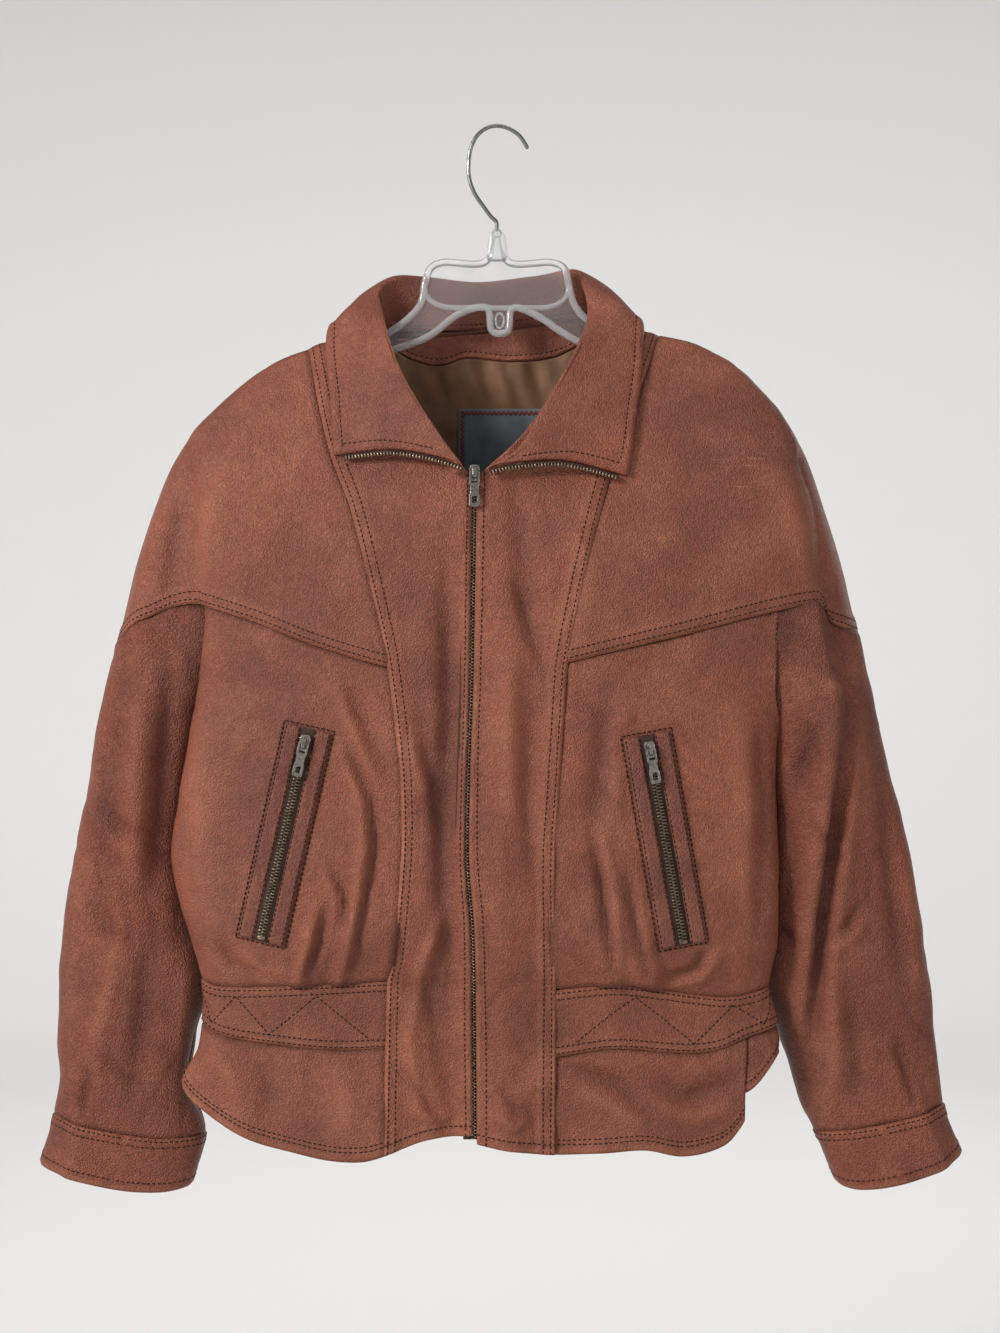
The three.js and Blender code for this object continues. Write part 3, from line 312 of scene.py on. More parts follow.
# Pale scuffs on the left yoke: end points in x and z
SCUFFS = [((173, -283), (184, -276)), ((192, -296), (218, -270)), ((186, -310), (200, -300)),
          ((222, -262), (230, -253)), ((204, -314), (226, -300))]

HOOK = [(-0.5, -85.4), (-1, -77), (-5, -73), (-11, -65), (-19, -53), (-23, -41), (-23.5, -30),
        (-22, -18), (-17, -7), (-9, -0.4), (0, 1.65), (9, -0.6), (18, -6.5), (25, -17)]
HANGER = [(-6, -86), (5, -86), (10, -107), (46, -107.5), (57, -113), (61, -126), (66, -144),
          (80, -158.5), (95, -164.5), (105, -167.2), (132, -175.8), (166, -184.2), (188, -197),
          (194, -205), (189, -213), (150, -199), (110, -190), (66, -178), (50, -169), (30, -156),
          (14, -150), (10, -169), (-6, -169), (-10, -150), (-28, -154), (-56, -174), (-86, -185),
          (-120, -196), (-160, -211), (-199, -229), (-205, -223), (-203, -213.6), (-186, -200.4),
          (-155, -187), (-122, -175.8), (-92, -166), (-66, -144), (-62, -126), (-57, -113),
          (-46, -107.5), (-11, -107)]
HANGER_RIM = 3.0
HANGER_BAR = [(-60, -128), (-57, -139), (-46, -146), (-20, -147.5), (20, -147.5), (46, -146),
              (56, -139), (59, -128)]

# The photograph's camera: image size in pixels, scale on the front's plane, and place
IMAGE_TALL = 1333
MM_PER_PIXEL = 0.80
CAMERA_DISTANCE = 1700
CAMERA_PLACE = (2.13, -1740, -441.1)

SKINS = {}
STITCHES = {"front": [], "sleeves": [], "back": [], "collar": []}


def smooth(a, b, v):
    t = np.clip((v - a) / (b - a), 0, 1)
    return t * t * (3 - 2 * t)


def bump(d, width):
    return np.exp(-((d / width) ** 2))


def lerp(a, b, t):
    return a + (b - a) * t


def soft_max(a, b):
    return (a + b + np.sqrt((a - b) ** 2 + FOLD_SOFTNESS**2)) / 2


def quarter_round(r):
    c = 1 - np.clip(r, 0, 1)
    return np.sqrt(np.maximum(0, 1 - c * c))


def catmull(points, t):
    """Places on a centripetal spline through points, which may hold several splines side by side."""
    points = np.asarray(points, float)
    p = np.concatenate([2 * points[:1] - points[1:2], points, 2 * points[-1:] - points[-2:-1]])
    spans = len(points) - 1
    place = np.clip(np.asarray(t, float), 0, 1) * spans
    i = np.minimum(place.astype(int), spans - 1)
    w = (place - i).reshape((-1,) + (1,) * (points.ndim - 1))
    p0, p1, p2, p3 = p[i], p[i + 1], p[i + 2], p[i + 3]

    def knot(a, b):
        return np.maximum(np.sum((a - b) ** 2, -1, keepdims=True) ** 0.25, 1e-4)

    d0, d1, d2 = knot(p0, p1), knot(p1, p2), knot(p2, p3)
    m1 = ((p1 - p0) / d0 - (p2 - p0) / (d0 + d1) + (p2 - p1) / d1) * d1
    m2 = ((p2 - p1) / d1 - (p3 - p1) / (d1 + d2) + (p3 - p2) / d2) * d1
    near = (1 + 2 * w) * (1 - w) ** 2 * p1 + w * (1 - w) ** 2 * m1
    return near + w * w * (3 - 2 * w) * p2 + w * w * (w - 1) * m2


def along_path(points, count):
    """Evenly spaced places on a spline through points."""
    fine = catmull(points, np.linspace(0, 1, 40 * len(points)))
    run = np.concatenate([[0], np.cumsum(np.linalg.norm(np.diff(fine, axis=0), axis=1))])
    want = np.linspace(0, run[-1], count)
    return np.stack([np.interp(want, run, fine[:, k]) for k in range(fine.shape[1])], -1)


# Forms of the garment


def torso(angle, z):
    """Section place: angle 0 is the middle of the front, 90 the left side and 180 the back."""
    a = np.radians(angle)
    c = np.cos(a)
    low = torso_right(z)
    high = np.where(c < 0, np.minimum(torso_left(z), back_edge_left(z)), torso_left(z))
    side = side_depth(z)
    x = (low + high) / 2 + (high - low) / 2 * np.sin(a)
    front = side - (front_depth(z) + side) * np.maximum(c, 0) ** FRONT_FULL
    back = side + (back_depth(z) - side) * np.maximum(-c, 0) ** BACK_FULL
    return x, np.where(c >= 0, front, back), z + 0 * x


def torso_angle(x, z):
    low, high = torso_right(z), torso_left(z)
    return np.degrees(np.arcsin(np.clip((x - (low + high) / 2) / ((high - low) / 2), -1, 1)))


def torso_layer(x, z, back):
    low, high = torso_right(z), torso_left(z)
    half = (high - low) / 2
    t = np.abs(x - (low + high) / 2) / half
    side = -side_depth(z) if back else side_depth(z)
    full = back_depth(z) if back else front_depth(z)
    power = (BACK_FULL if back else FRONT_FULL) / 2
    inside = -side + (full + side) * np.maximum(1 - t * t, 0) ** power
    return np.where(t >= 1, -side - (t - 1) * half * 3, inside)


def sleeve_layer(s, x, z, back):
    o, i = s.sleeve_outer(z), s.sleeve_inner(z)
    t = (x - (o + i) / 2) / (o - i) * 2
    full = sleeve_back(z) if back else sleeve_front(z)
    rounding = np.where(t <= 0, 1, np.maximum(0, 1 - t * t) ** (SLEEVE_FULL / 2))
    return (1 if back else -1) * seam_plane(z) + full * rounding


def centre_fold(x, z):
    reach = smooth(-330, -420, z)
    return (2.5 * bump(x - zip_line(z) - 26, 13) - 4.5 * bump(x - zip_line(z) + 17, 11)) * reach


def pleat_fold(s, x, z):
    h = 0
    for foot, top in s.pleats:
        t = (z - foot[1]) / (top[1] - foot[1])
        d = (x - lerp(foot[0], top[0], np.maximum(t, 0))) * s.sign
        rise = np.where(t > 1, 0, 1 - smooth(0, 1, t))
        h = h + 6.5 * rise * bump(d, np.where(d < 0, 13, 5))
    return h


def tuck_fold(s, x, z):
    foot, top = s.tuck
    t = (z - foot[1]) / (top[1] - foot[1])
    d = (x - lerp(foot[0], top[0], t)) * s.sign
    return np.where(t > 1, 0, 5.5 * (1 - smooth(0, 1, t)) * bump(d, np.where(d < 0, 16, 6)))


def hem_wave(x, z):
    return 3.2 * smooth(-745, -815, z) * np.sin((x + 20) / 17)


def centre_at(s, x, z):
    v = (z - s.yoke_end[1]) / (ridge(x) - s.yoke_end[1])
    base = seam_plane(z)
    depth = (torso_layer(x, z, False) + base) * quarter_round((1 - v) / RIDGE_REACH)
    return base - depth - centre_fold(x, z) - 0.6 * hem_wave(x, z)


def lower_at(s, angle, z):
    x, y, z = torso(angle, z)
    face = np.maximum(0, np.cos(np.radians(angle))) ** 0.5
    return x, y - (pleat_fold(s, x, z) + 5 * bump(z + 660, 24)) * face, z


def peplum_at(angle, z):
    x, y, z = torso(angle, z)
    c = np.cos(np.radians(angle))
    return x, y - hem_wave(x, z) * np.sign(c) * np.abs(c) ** 0.5, z


def sleeve_at(s, angle, z):
    """Section place: angle 90 is the outer edge, -90 the inner edge, 0 the front and 180 the back."""
    a = np.radians(angle)
    o, i = s.sleeve_outer(z), s.sleeve_inner(z)
    k, c = np.sin(a), np.cos(a)
    x = (o + i) / 2 + (o - i) / 2 * k
    full = np.maximum(c, 0) ** SLEEVE_FULL
    rounding = np.where(k > 0, full, lerp(1, full, smooth(ARMPIT_TOP, ARMPIT_FOOT, z)))
    inside = (s.fold(z) - x) * s.sign
    step = s.fold_step(z) * (1 + np.clip(inside, 0, 40) / 100)
    lift = step * (1 - smooth(-6, 6, -inside)) * rounding**0.5 + tuck_fold(s, x, z) * rounding
    front = seam_plane(z) - sleeve_front(z) * rounding - lift
    back = seam_plane(z) + sleeve_back(z) * np.maximum(-c, 0) ** SLEEVE_FULL
    return x, np.where(c < 0, back, front), z + 0 * x


def leaning_sleeve(s, angle, z):
    """The sleeve with its inner edge resting against the body's side."""
    x, y, z = sleeve_at(s, angle, z)
    rest = smooth(-378, -404, z) * (1 - smooth(-690, -770, z))
    return x - s.sign * SLEEVE_LEAN * rest * np.maximum(0, -np.sin(np.radians(angle))) ** 6, y, z


def back_at(x, z):
    v = (z - back_yoke_foot(x)) / (back_top(x) - back_yoke_foot(x))
    neck = 0.3 * smooth(-120, -70, x) * (1 - smooth(60, 105, x))
    g = quarter_round((neck + (1 - v) * (1 - neck)) / RIDGE_REACH)
    base = seam_plane(z)
    sleeve = np.where(x < 0, sleeve_layer(RIGHT, x, z, True), sleeve_layer(LEFT, x, z, True))
    return base + (soft_max(torso_layer(x, z, True), sleeve) - base) * g


def coons(foot, top, start, end):
    """A four sided patch between edges, each a function from 0 to 1 that gives a pair."""
    corner = [[np.array(edge(t)) for t in (0.0, 1.0)] for edge in (start, end)]

    def at(u, v):
        a, b, c, d = foot(u), top(u), start(v), end(v)
        out = []
        for k in (0, 1):
            low = lerp(corner[0][0][k], corner[1][0][k], u)
            high = lerp(corner[0][1][k], corner[1][1][k], u)
            out.append(lerp(a[k], b[k], v) + lerp(c[k], d[k], u) - lerp(low, high, v))
        return out

    return at


def ring_patch(form, angle_start, angle_end, foot, top):
    """A patch on a ring form between two angles and two heights, which may follow x."""

    def level(angle, line, z):
        for _ in range(6):
            z = line(form(angle, z)[0])
        return z

    def corner(side, line, z):
        for _ in range(8):
            z = line(form(side(z), z)[0])
        return side(z), z

    c00, c10 = corner(angle_start, foot, -700.0), corner(angle_end, foot, -700.0)
    c01, c11 = corner(angle_start, top, -450.0), corner(angle_end, top, -450.0)

    def edge(a, b, line):
        return lambda u: (lerp(a[0], b[0], u), level(lerp(a[0], b[0], u), line, lerp(a[1], b[1], u)))

    def rise(a, b, side):
        return lambda v: (side(lerp(a[1], b[1], v)), lerp(a[1], b[1], v))

    flat = coons(edge(c00, c10, foot), edge(c01, c11, top), rise(c00, c01, angle_start),
                 rise(c10, c11, angle_end))
    return lambda u, v: form(*flat(u, v))


# Relief on the leather


def fold_height(x, z, folds):
    """Height of soft folds laid along bent lines, fading at their ends."""
    h = np.zeros_like(x)
    for points, width, height in folds:
        p = np.array(points, float)
        lengths = np.linalg.norm(np.diff(p, axis=0), axis=1)
        nearest = np.full_like(x, 1e9)
        along = np.zeros_like(x)
        run = 0
        for a, b, length in zip(p[:-1], p[1:], lengths):
            t = np.clip(((x - a[0]) * (b[0] - a[0]) + (z - a[1]) * (b[1] - a[1])) / length**2, 0, 1)
            d = np.hypot(x - lerp(a[0], b[0], t), z - lerp(a[1], b[1], t))
            closer = d < nearest
            nearest = np.where(closer, d, nearest)
            along = np.where(closer, (run + t * length) / lengths.sum(), along)
            run += length
        h += height * np.sin(np.pi * np.clip(along, 0.02, 0.98)) ** 0.6 * bump(nearest, width)
    return h


def crumple(x, z, seed, size=42):
    """Low uneven waves, the same on every run."""
    rng = np.random.default_rng(seed)
    h = np.zeros_like(x)
    wx = x + 9 * np.sin(z / 31 + seed) + 5 * np.sin((x + z) / 19)
    wz = z + 9 * np.sin(x / 27 - seed)
    for _ in range(9):
        turn, phase = rng.uniform(0, 6.28, 2)
        wave = size * rng.uniform(0.5, 1.9)
        h += wave / size * np.sin((wx * math.cos(turn) + wz * math.sin(turn)) * 6.28 / wave + phase)
    return h / 9


def wrinkle_lines(x, z, seed):
    """Thin crease lines in patches, mostly upright: 1 on a line and 0 off it."""
    line = 1 - np.clip(np.abs(crumple(x, 0.45 * z, seed + 100, 34)) * 3.4, 0, 1) ** 0.7
    return line * smooth(-0.12, 0.3, crumple(x, z, seed + 200, 95))


def near_pocket(s, x, z):
    """1 on the pocket and 0 away from it."""
    head, foot = np.array(s.pocket, float)
    down = (foot - head) / np.linalg.norm(foot - head)
    length = np.linalg.norm(foot - head)
    along = (x - head[0]) * down[0] + (z - head[1]) * down[1]
    side = np.abs((x - head[0]) * -down[1] + (z - head[1]) * down[0])
    inside = smooth(-14, -3, along) * (1 - smooth(length + 3, length + 12, along))
    return inside * (1 - smooth(22, 32, side))


def edge_form(lift, strip, drop, reach, rows=(), tuck=0, wear=0, grime=0.1):
    """How an edge is made: height and width of its raised strip, drop and reach of its round, rows of
    stitches, how far it runs on under its neighbour, how much it wears pale, and how much dirt and
    painted shade it holds."""
    return SimpleNamespace(lift=lift, strip=strip, drop=drop, reach=reach, rows=rows, tuck=tuck,
                           wear=wear, grime=grime)


# The last number of each form darkens along its edge: seam dirt, and painted shade where the panel tucks
# under its neighbour and in the stitch grooves.
EDGE_FORMS = {
    "lap": edge_form(0.9, 12, 1.4, 1.0, rows=(3.8, 10.0), wear=1.0),
    "band": edge_form(0.7, 9, 1.3, 1.0, rows=(2.6, 7.6), wear=0.8, grime=0.2),
    "under": edge_form(0, 8, 2.3, 2.4, tuck=2.6, grime=0.7),
    "hem": edge_form(0.5, 10, 1.2, 1.2, rows=(8.0,), wear=0.9),
    "zip": edge_form(0.4, 7, 1.1, 1.1, rows=(5.5,), wear=0.6, grime=0.3),
    "welt": edge_form(0, 5, 0.8, 1.3, wear=0.5, grime=0.5),
}
ALL_UNDER = {"u0": "under", "u1": "under", "v0": "under", "v1": "under"}
ALL_WELT = {"u0": "welt", "u1": "welt", "v0": "welt", "v1": "welt"}


class Skin:
    """The outer face of a panel as a grid, with distances from its four edges."""

    def __init__(self, at, size, gaps, closed=False):
        probe = np.linspace(0, 1, 33)
        across = np.stack(at(probe, np.full(33, 0.5)), -1)
        upward = np.stack(at(np.full(33, 0.5), probe), -1)
        self.long_u = np.linalg.norm(np.diff(across, axis=0), axis=1).sum()
        self.long_v = np.linalg.norm(np.diff(upward, axis=0), axis=1).sum()
        nu = max(4, round(self.long_u / size))
        nv = max(3, round(self.long_v / size))
        u = np.linspace(gaps["u0"] / self.long_u, 1 - gaps["u1"] / self.long_u, nu + 1)
        if closed:
            u = np.arange(nu) / nu
        v = np.linspace(gaps["v0"] / self.long_v, 1 - gaps["v1"] / self.long_v, nv + 1)
        self.u, self.v = np.meshgrid(u, v)
        self.closed = closed
        self.place = np.stack(at(self.u, self.v), -1)

    def orient(self, out):
        """Finds normals that look towards out, and how far each place is from the edges."""
        p = self.place
        if self.closed:
            du = np.roll(p, -1, axis=1) - np.roll(p, 1, axis=1)
        else:
            du = np.gradient(p, axis=1)
        n = np.cross(du, np.gradient(p, axis=0))
        n /= np.maximum(np.linalg.norm(n, axis=-1, keepdims=True), 1e-9)
        look = np.stack(np.broadcast_arrays(*out(self.u, self.v)), -1) if out else n
        flip = np.sign(np.sum(n * look, -1, keepdims=True))
        flip[flip == 0] = 1
        self.turned = np.mean(flip) < 0
        self.normal = n * flip
        step_u = np.linalg.norm(np.diff(p, axis=1), axis=-1)
        step_v = np.linalg.norm(np.diff(p, axis=0), axis=-1)
        run_u = np.pad(np.cumsum(step_u, axis=1), ((0, 0), (1, 0)))
        run_v = np.pad(np.cumsum(step_v, axis=0), ((1, 0), (0, 0)))
        self.edge = {"u0": run_u, "u1": run_u[:, -1:] - run_u, "v0": run_v, "v1": run_v[-1:] - run_v}
        self.area = float(np.sum(step_u.mean()) * step_v.mean() * step_u.shape[1] * step_v.shape[0])

    def row(self, edge, offset, start=0.0, end=1.0):
        """The places and normals of a line that runs at an even distance from an edge."""
        d = self.edge[edge]
        lines = range(d.shape[0]) if edge[0] == "u" else range(d.shape[1])
        places, normals = [], []
        for k in lines:
            dist = d[k] if edge[0] == "u" else d[:, k]
            p = self.place[k] if edge[0] == "u" else self.place[:, k]
            n = self.normal[k] if edge[0] == "u" else self.normal[:, k]
            if dist[0] > dist[-1]:
                dist, p, n = dist[::-1], p[::-1], n[::-1]
            places.append([np.interp(offset, dist, p[:, c]) for c in range(3)])
            normals.append([np.interp(offset, dist, n[:, c]) for c in range(3)])
        first, last = int(start * (len(places) - 1)), int(end * (len(places) - 1)) + 1
        return np.array(places)[first:last], np.array(normals)[first:last]

    def sample(self, u, v):
        """Places and normals at pairs of grid fractions."""
        rows, columns = self.place.shape[:2]
        i = np.clip(np.asarray(u) * (columns - 1), 0, columns - 1.001)
        j = np.clip(np.asarray(v) * (rows - 1), 0, rows - 1.001)
        a, b = i.astype(int), j.astype(int)
        fu, fv = (i - a)[:, None], (j - b)[:, None]
        out = []
        for grid in (self.place, self.normal):
            low = lerp(grid[b, a], grid[b, a + 1], fu)
            out.append(lerp(low, lerp(grid[b + 1, a], grid[b + 1, a + 1], fu), fv))
        return out


def raise_edges(skin, edges, seed):
    """Rolled seam edges, stitched strips and their puckers; also where they wear pale, and where they hold
    dirt and painted shade in tucks and stitch grooves.
    """
    shape = skin.u.shape
    h, wear, grime = np.zeros(shape), np.zeros(shape), np.zeros(shape)
    for name, kind in edges.items():
        form = EDGE_FORMS[kind]
        d = skin.edge[name]
        run = skin.edge["v0" if name[0] == "u" else "u0"]
        uneven = 0.6 + 0.4 * np.sin(run / 23 + seed) * np.sin(run / 9.1 + 2 * seed)
        h += form.lift * (1 - smooth(form.strip, form.strip + 3, d))
        if form.tuck:
            h -= form.drop * (0.3 + 0.7 * np.abs(skin.normal[..., 1])) * (1 - smooth(1, form.tuck + 2.4, d))
        else:
            h -= form.drop * bump(d, form.reach)
        for row in form.rows:
            h -= 0.45 * bump(d - row, 0.9)
        if form.rows:
            h += 0.32 * np.sin(run * 6.28 / 8.4 + 3 * np.sin(run / 37 + seed)) * bump(d - form.strip, 5)
        h += 0.7 * form.lift * bump(d - 1.6, 1.2)
        wear = np.maximum(wear, form.wear * uneven * bump(d - 1.9, 2.1))
        wear = np.maximum(wear, 0.3 * form.wear * uneven * bump(d - form.strip, 3))
        # Painted shade, with seam dirt: dark where the panel tucks under and in the stitch grooves.
        grime = np.maximum(grime, form.grime * bump(np.maximum(d - form.tuck, 0), 2.8))
        for row in form.rows:
            grime = np.maximum(grime, 0.25 * bump(d - row, 1.1))
    return h, wear, grime


def faces_of(rows, columns, closed, turned):
    """Quads of a shell: the outer grid, the inner grid and the rim that joins them."""
    count = rows * columns
    ids = np.arange(count).reshape(rows, columns)
    if closed:
        ids = np.concatenate([ids, ids[:, :1]], axis=1)
    a, b, c, d = ids[:-1, :-1], ids[:-1, 1:], ids[1:, 1:], ids[1:, :-1]
    outer = np.stack([a, b, c, d], -1).reshape(-1, 4)
    inner = outer[:, ::-1] + count
    loops = [ids[0], ids[-1][::-1]] if closed else [
        np.concatenate([ids[0], ids[1:, -1], ids[-1, -2::-1], ids[-2::-1, 0]])]
    rims = []
    for loop in loops:
        rims.append(np.stack([loop[1:], loop[:-1], loop[:-1] + count, loop[1:] + count], -1))
    quads = np.concatenate([outer, inner] + rims)
    return quads[:, ::-1] if turned else quads


def new_mesh(name, points, faces, material, facts=None):
    """A shown piece with smooth faces, from points in millimetres."""
    mesh = bpy.data.meshes.new(name)
    sides = faces.tolist() if isinstance(faces, np.ndarray) else faces
    mesh.from_pydata((np.asarray(points) * MM).tolist(), [], sides)
    mesh.polygons.foreach_set("use_smooth", [True] * len(mesh.polygons))
    for label, values in (facts or {}).items():
        layer = mesh.attributes.new(label, "FLOAT", "POINT")
        layer.data.foreach_set("value", np.asarray(values, np.float32).ravel())
    mesh.materials.append(material)
    mesh.validate()
    piece = bpy.data.objects.new(name, mesh)
    bpy.context.scene.collection.objects.link(piece)
    return piece


def settle(piece, nodes=()):
    """Every piece rides on the jacket and stands for its solids."""
    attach(piece, BODY)
    if nodes:
        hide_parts(*nodes)
    return piece


def hide_panel(node, at, material, thick, out, edges=None, folds=(), seed=1, size=2.8, gaps=(0.2, 0.2),
               closed=False, limit=None, waves=0.8, extra=None, still=None, darkening_and_shade=0.0,
               creases=0.0):
    """A leather or cloth panel: a thin closed shell on its solid's form with folds, seams and wear, and
    painted shade and highlight on its folds.
    """
    spare = {name: gaps[name[0] == "v"] for name in ("u0", "u1", "v0", "v1")}
    for name, kind in (edges or {}).items():
        if EDGE_FORMS[kind].tuck:
            spare[name] = -EDGE_FORMS[kind].tuck
    skin = Skin(at, size, spare, closed)
    skin.orient(out)
    x, z = skin.place[..., 0], skin.place[..., 2]
    calm = np.ones_like(x) if still is None else 1 - still(x, z)
    for name in () if closed else spare:
        if name not in (edges or {}):
            calm = calm * smooth(0, 8, skin.edge[name])
    folded = fold_height(x, z, folds) * calm
    edge_h, wear, grime = raise_edges(skin, edges or {}, seed)
    lines = wrinkle_lines(x, z, seed) * calm if creases else np.zeros_like(x)
    h = FOLD_DEPTH * folded + waves * crumple(x, z, seed) * calm - creases * lines + edge_h
    if extra is not None:
        h = h + extra(skin)
    # Painted highlight on fold ridges, added to the rubbed edges.
    wear = np.clip(wear + 0.19 * np.maximum(folded, 0), 0, 1)
    # Extra darkening: painted shade on a sleeve's side against the body, and an even darker tone on
    # waistbands and peplums.
    extra_dark = darkening_and_shade(skin) if callable(darkening_and_shade) else darkening_and_shade
    # Painted shade in fold troughs and crease lines, added to the seam dirt.
    grime = np.clip(grime + 0.22 * np.maximum(-folded, 0) + 0.3 * lines * min(creases, 1) + extra_dark, 0, 1)
    scuff = np.zeros_like(x)
    if node == "front_yoke_left":
        scuff = np.clip(fold_height(x, z, [((a, b), 9, 1.0) for a, b in SCUFFS]), 0, 1)
    outer = skin.place + skin.normal * h[..., None]
    inner = outer - skin.normal * thick
    if limit is not None:
        outer, inner = limit(outer), limit(inner)
    skin.place = outer
    rows, columns = outer.shape[:2]
    points = np.concatenate([outer.reshape(-1, 3), inner.reshape(-1, 3)])
    facts = {"wear": [wear, 0 * wear], "grime": [grime, grime], "scuff": [scuff, 0 * scuff]}
    piece = new_mesh(node + "_panel", points, faces_of(rows, columns, closed, skin.turned), material, facts)
    settle(piece, (node,))
    SKINS[node] = skin
    return piece


# Small repeated shapes


def frames_on(path, normals):
    """Unit directions along a path, and normals and cross directions square to them."""
    along = np.gradient(path, axis=0)
    along /= np.maximum(np.linalg.norm(along, axis=1, keepdims=True), 1e-9)
    across = np.cross(along, normals)
    across /= np.maximum(np.linalg.norm(across, axis=1, keepdims=True), 1e-9)
    return along, np.cross(across, along), across


def spaced(path, normals, pitch):
    """Places along a path one pitch apart, with their normals."""
    run = np.concatenate([[0], np.cumsum(np.linalg.norm(np.diff(path, axis=0), axis=1))])
    want = np.arange(pitch / 2, run[-1] - pitch / 4, pitch)
    return [np.stack([np.interp(want, run, values[:, k]) for k in range(3)], -1)
            for values in (path, normals)]


def repeated(template, faces, centres, axes):
    """One mesh of a small shape set at many places; axes are three direction arrays."""
    points = sum(template[None, :, k, None] * axes[k][:, None, :] for k in range(3)) + centres[:, None, :]
    shift = (np.arange(len(centres)) * len(template))[:, None]
    quads = []
    for face in faces:
        quads.extend((np.array(face)[None, :] + shift).tolist())
    return points.reshape(-1, 3), quads


def capsule(length, width, height):
    """A stitch: a short thread that dives at both ends; x along, y up and z across."""
    points, faces, sides = [], [], 6
    for share, grow in ((-0.5, 0.45), (-0.3, 1.0), (0.3, 1.0), (0.5, 0.45)):
        drop = -height * 0.5 if abs(share) == 0.5 else 0
        for k in range(sides):
            a = k * 2 * math.pi / sides
            rise = math.cos(a) * height / 2 * grow + drop
            points.append((share * length, rise, math.sin(a) * width / 2 * grow))
    for ring in range(3):
        for k in range(sides):
            a, b = ring * sides + k, ring * sides + (k + 1) % sides
            faces.append((a, b, b + sides, a + sides))
    faces.append(tuple(range(sides))[::-1])
    faces.append(tuple(range(3 * sides, 4 * sides)))
    return np.array(points), faces


def tooth(along, height, across):
    """A zip tooth: a small block with its upper edges cut back."""
    a, h, c = along / 2, height / 2, across / 2
    points = []
    for x, y, z in ((a, -h, c), (a, h * 0.4, c), (a * 0.55, h, c * 0.7)):
        points += [(-x, y, -z), (x, y, -z), (x, y, z), (-x, y, z)]
    faces = [(0, 1, 2, 3), (8, 11, 10, 9)]
    for base in (0, 4):
        for k in range(4):
            n = (k + 1) % 4
            faces.append((base + k, base + 4 + k, base + 4 + n, base + n))
    return np.array(points), faces


def tube(path, radius, closed=False, sides=12):
    """Points and faces of a round rod along a path in the x and z plane, with rounded ends."""
    path = np.asarray(path, float)
    n = len(path)
    if closed:
        along = np.roll(path, -1, axis=0) - np.roll(path, 1, axis=0)
    else:
        along = np.gradient(path, axis=0)
    along /= np.linalg.norm(along, axis=1, keepdims=True)
    first = np.cross(along, np.array([0.0, 1.0, 0.0]))
    first /= np.linalg.norm(first, axis=1, keepdims=True)
    second = np.cross(along, first)
    angles = np.arange(sides) * 2 * math.pi / sides
    grow = np.full(n, float(radius))
    if not closed:
        grow[0] = grow[-1] = radius * 0.55
    ring = first[:, None] * np.cos(angles)[None, :, None] + second[:, None] * np.sin(angles)[None, :, None]
    points = (path[:, None] + ring * grow[:, None, None]).reshape(-1, 3)
    faces = []
    for j in range(n if closed else n - 1):
        for k in range(sides):
            m = (k + 1) % sides
            a, b = (j + 1) % n, j
            faces.append((b * sides + k, b * sides + m, a * sides + m, a * sides + k))
    if not closed:
        faces.append(tuple(range(sides))[::-1])
        faces.append(tuple(range((n - 1) * sides, n * sides)))
    return points, faces


def sew(group, path, normals, lift=0.1):
    """Notes one row of stitches for its group."""
    STITCHES[group].append((path + normals * lift, normals))


# Materials


def put(tree, kind, place=(0, 0), **values):
    node = tree.nodes.new(kind)
    node.location = place
    for name, value in values.items():
        setattr(node, name, value)
    return node


def noise(tree, scale, detail, vector, rough=0.55):
    node = put(tree, "ShaderNodeTexNoise")
    node.inputs["Scale"].default_value = scale
    node.inputs["Detail"].default_value = detail
    node.inputs["Roughness"].default_value = rough
    tree.links.new(vector, node.inputs["Vector"])
    return node.outputs["Fac"]


def remap(tree, value, low, high, to_low=0.0, to_high=1.0):
    node = put(tree, "ShaderNodeMapRange")
    for name, number in (("From Min", low), ("From Max", high), ("To Min", to_low), ("To Max", to_high)):
        node.inputs[name].default_value = number
    tree.links.new(value, node.inputs["Value"])
    return node.outputs["Result"]


def math_node(tree, kind, a, b):
    node = put(tree, "ShaderNodeMath", operation=kind)
    for k, value in enumerate((a, b)):
        if isinstance(value, (int, float)):
            node.inputs[k].default_value = value
        else:
            tree.links.new(value, node.inputs[k])
    return node.outputs[0]


def mixed(tree, factor, a, b):
    node = put(tree, "ShaderNodeMix", data_type="RGBA")
    sockets = [s for s in node.inputs if s.name in ("Factor", "A", "B")]
    factor_in = sockets[0]
    colours = [s for s in node.inputs if s.type == "RGBA"]
    for socket, value in ((factor_in, factor), (colours[0], a), (colours[1], b)):
        if isinstance(value, (int, float)):
            socket.default_value = value
        elif isinstance(value, (tuple, list)):
            socket.default_value = (*value[:3], 1)
        else:
            tree.links.new(value, socket)
    return [s for s in node.outputs if s.type == "RGBA"][0]


def group_of(name, inputs, outputs):
    """A new shader node group with its sockets, and its inner ends."""
    tree = bpy.data.node_groups.new(name, "ShaderNodeTree")
    for label, kind in inputs:
        tree.interface.new_socket(label, in_out="INPUT", socket_type=kind)
    for label, kind in outputs:
        tree.interface.new_socket(label, in_out="OUTPUT", socket_type=kind)
    return tree, put(tree, "NodeGroupInput"), put(tree, "NodeGroupOutput", (800, 0))


PURPLE_PATCH = (0.105, 0.032, 0.034)
# Near black for seam dirt and for painted shade in folds, creases, tucks and beside the body.
DIRT_AND_SHADE = (0.04, 0.013, 0.010)
SCUFF_PALE = (0.48, 0.27, 0.19)


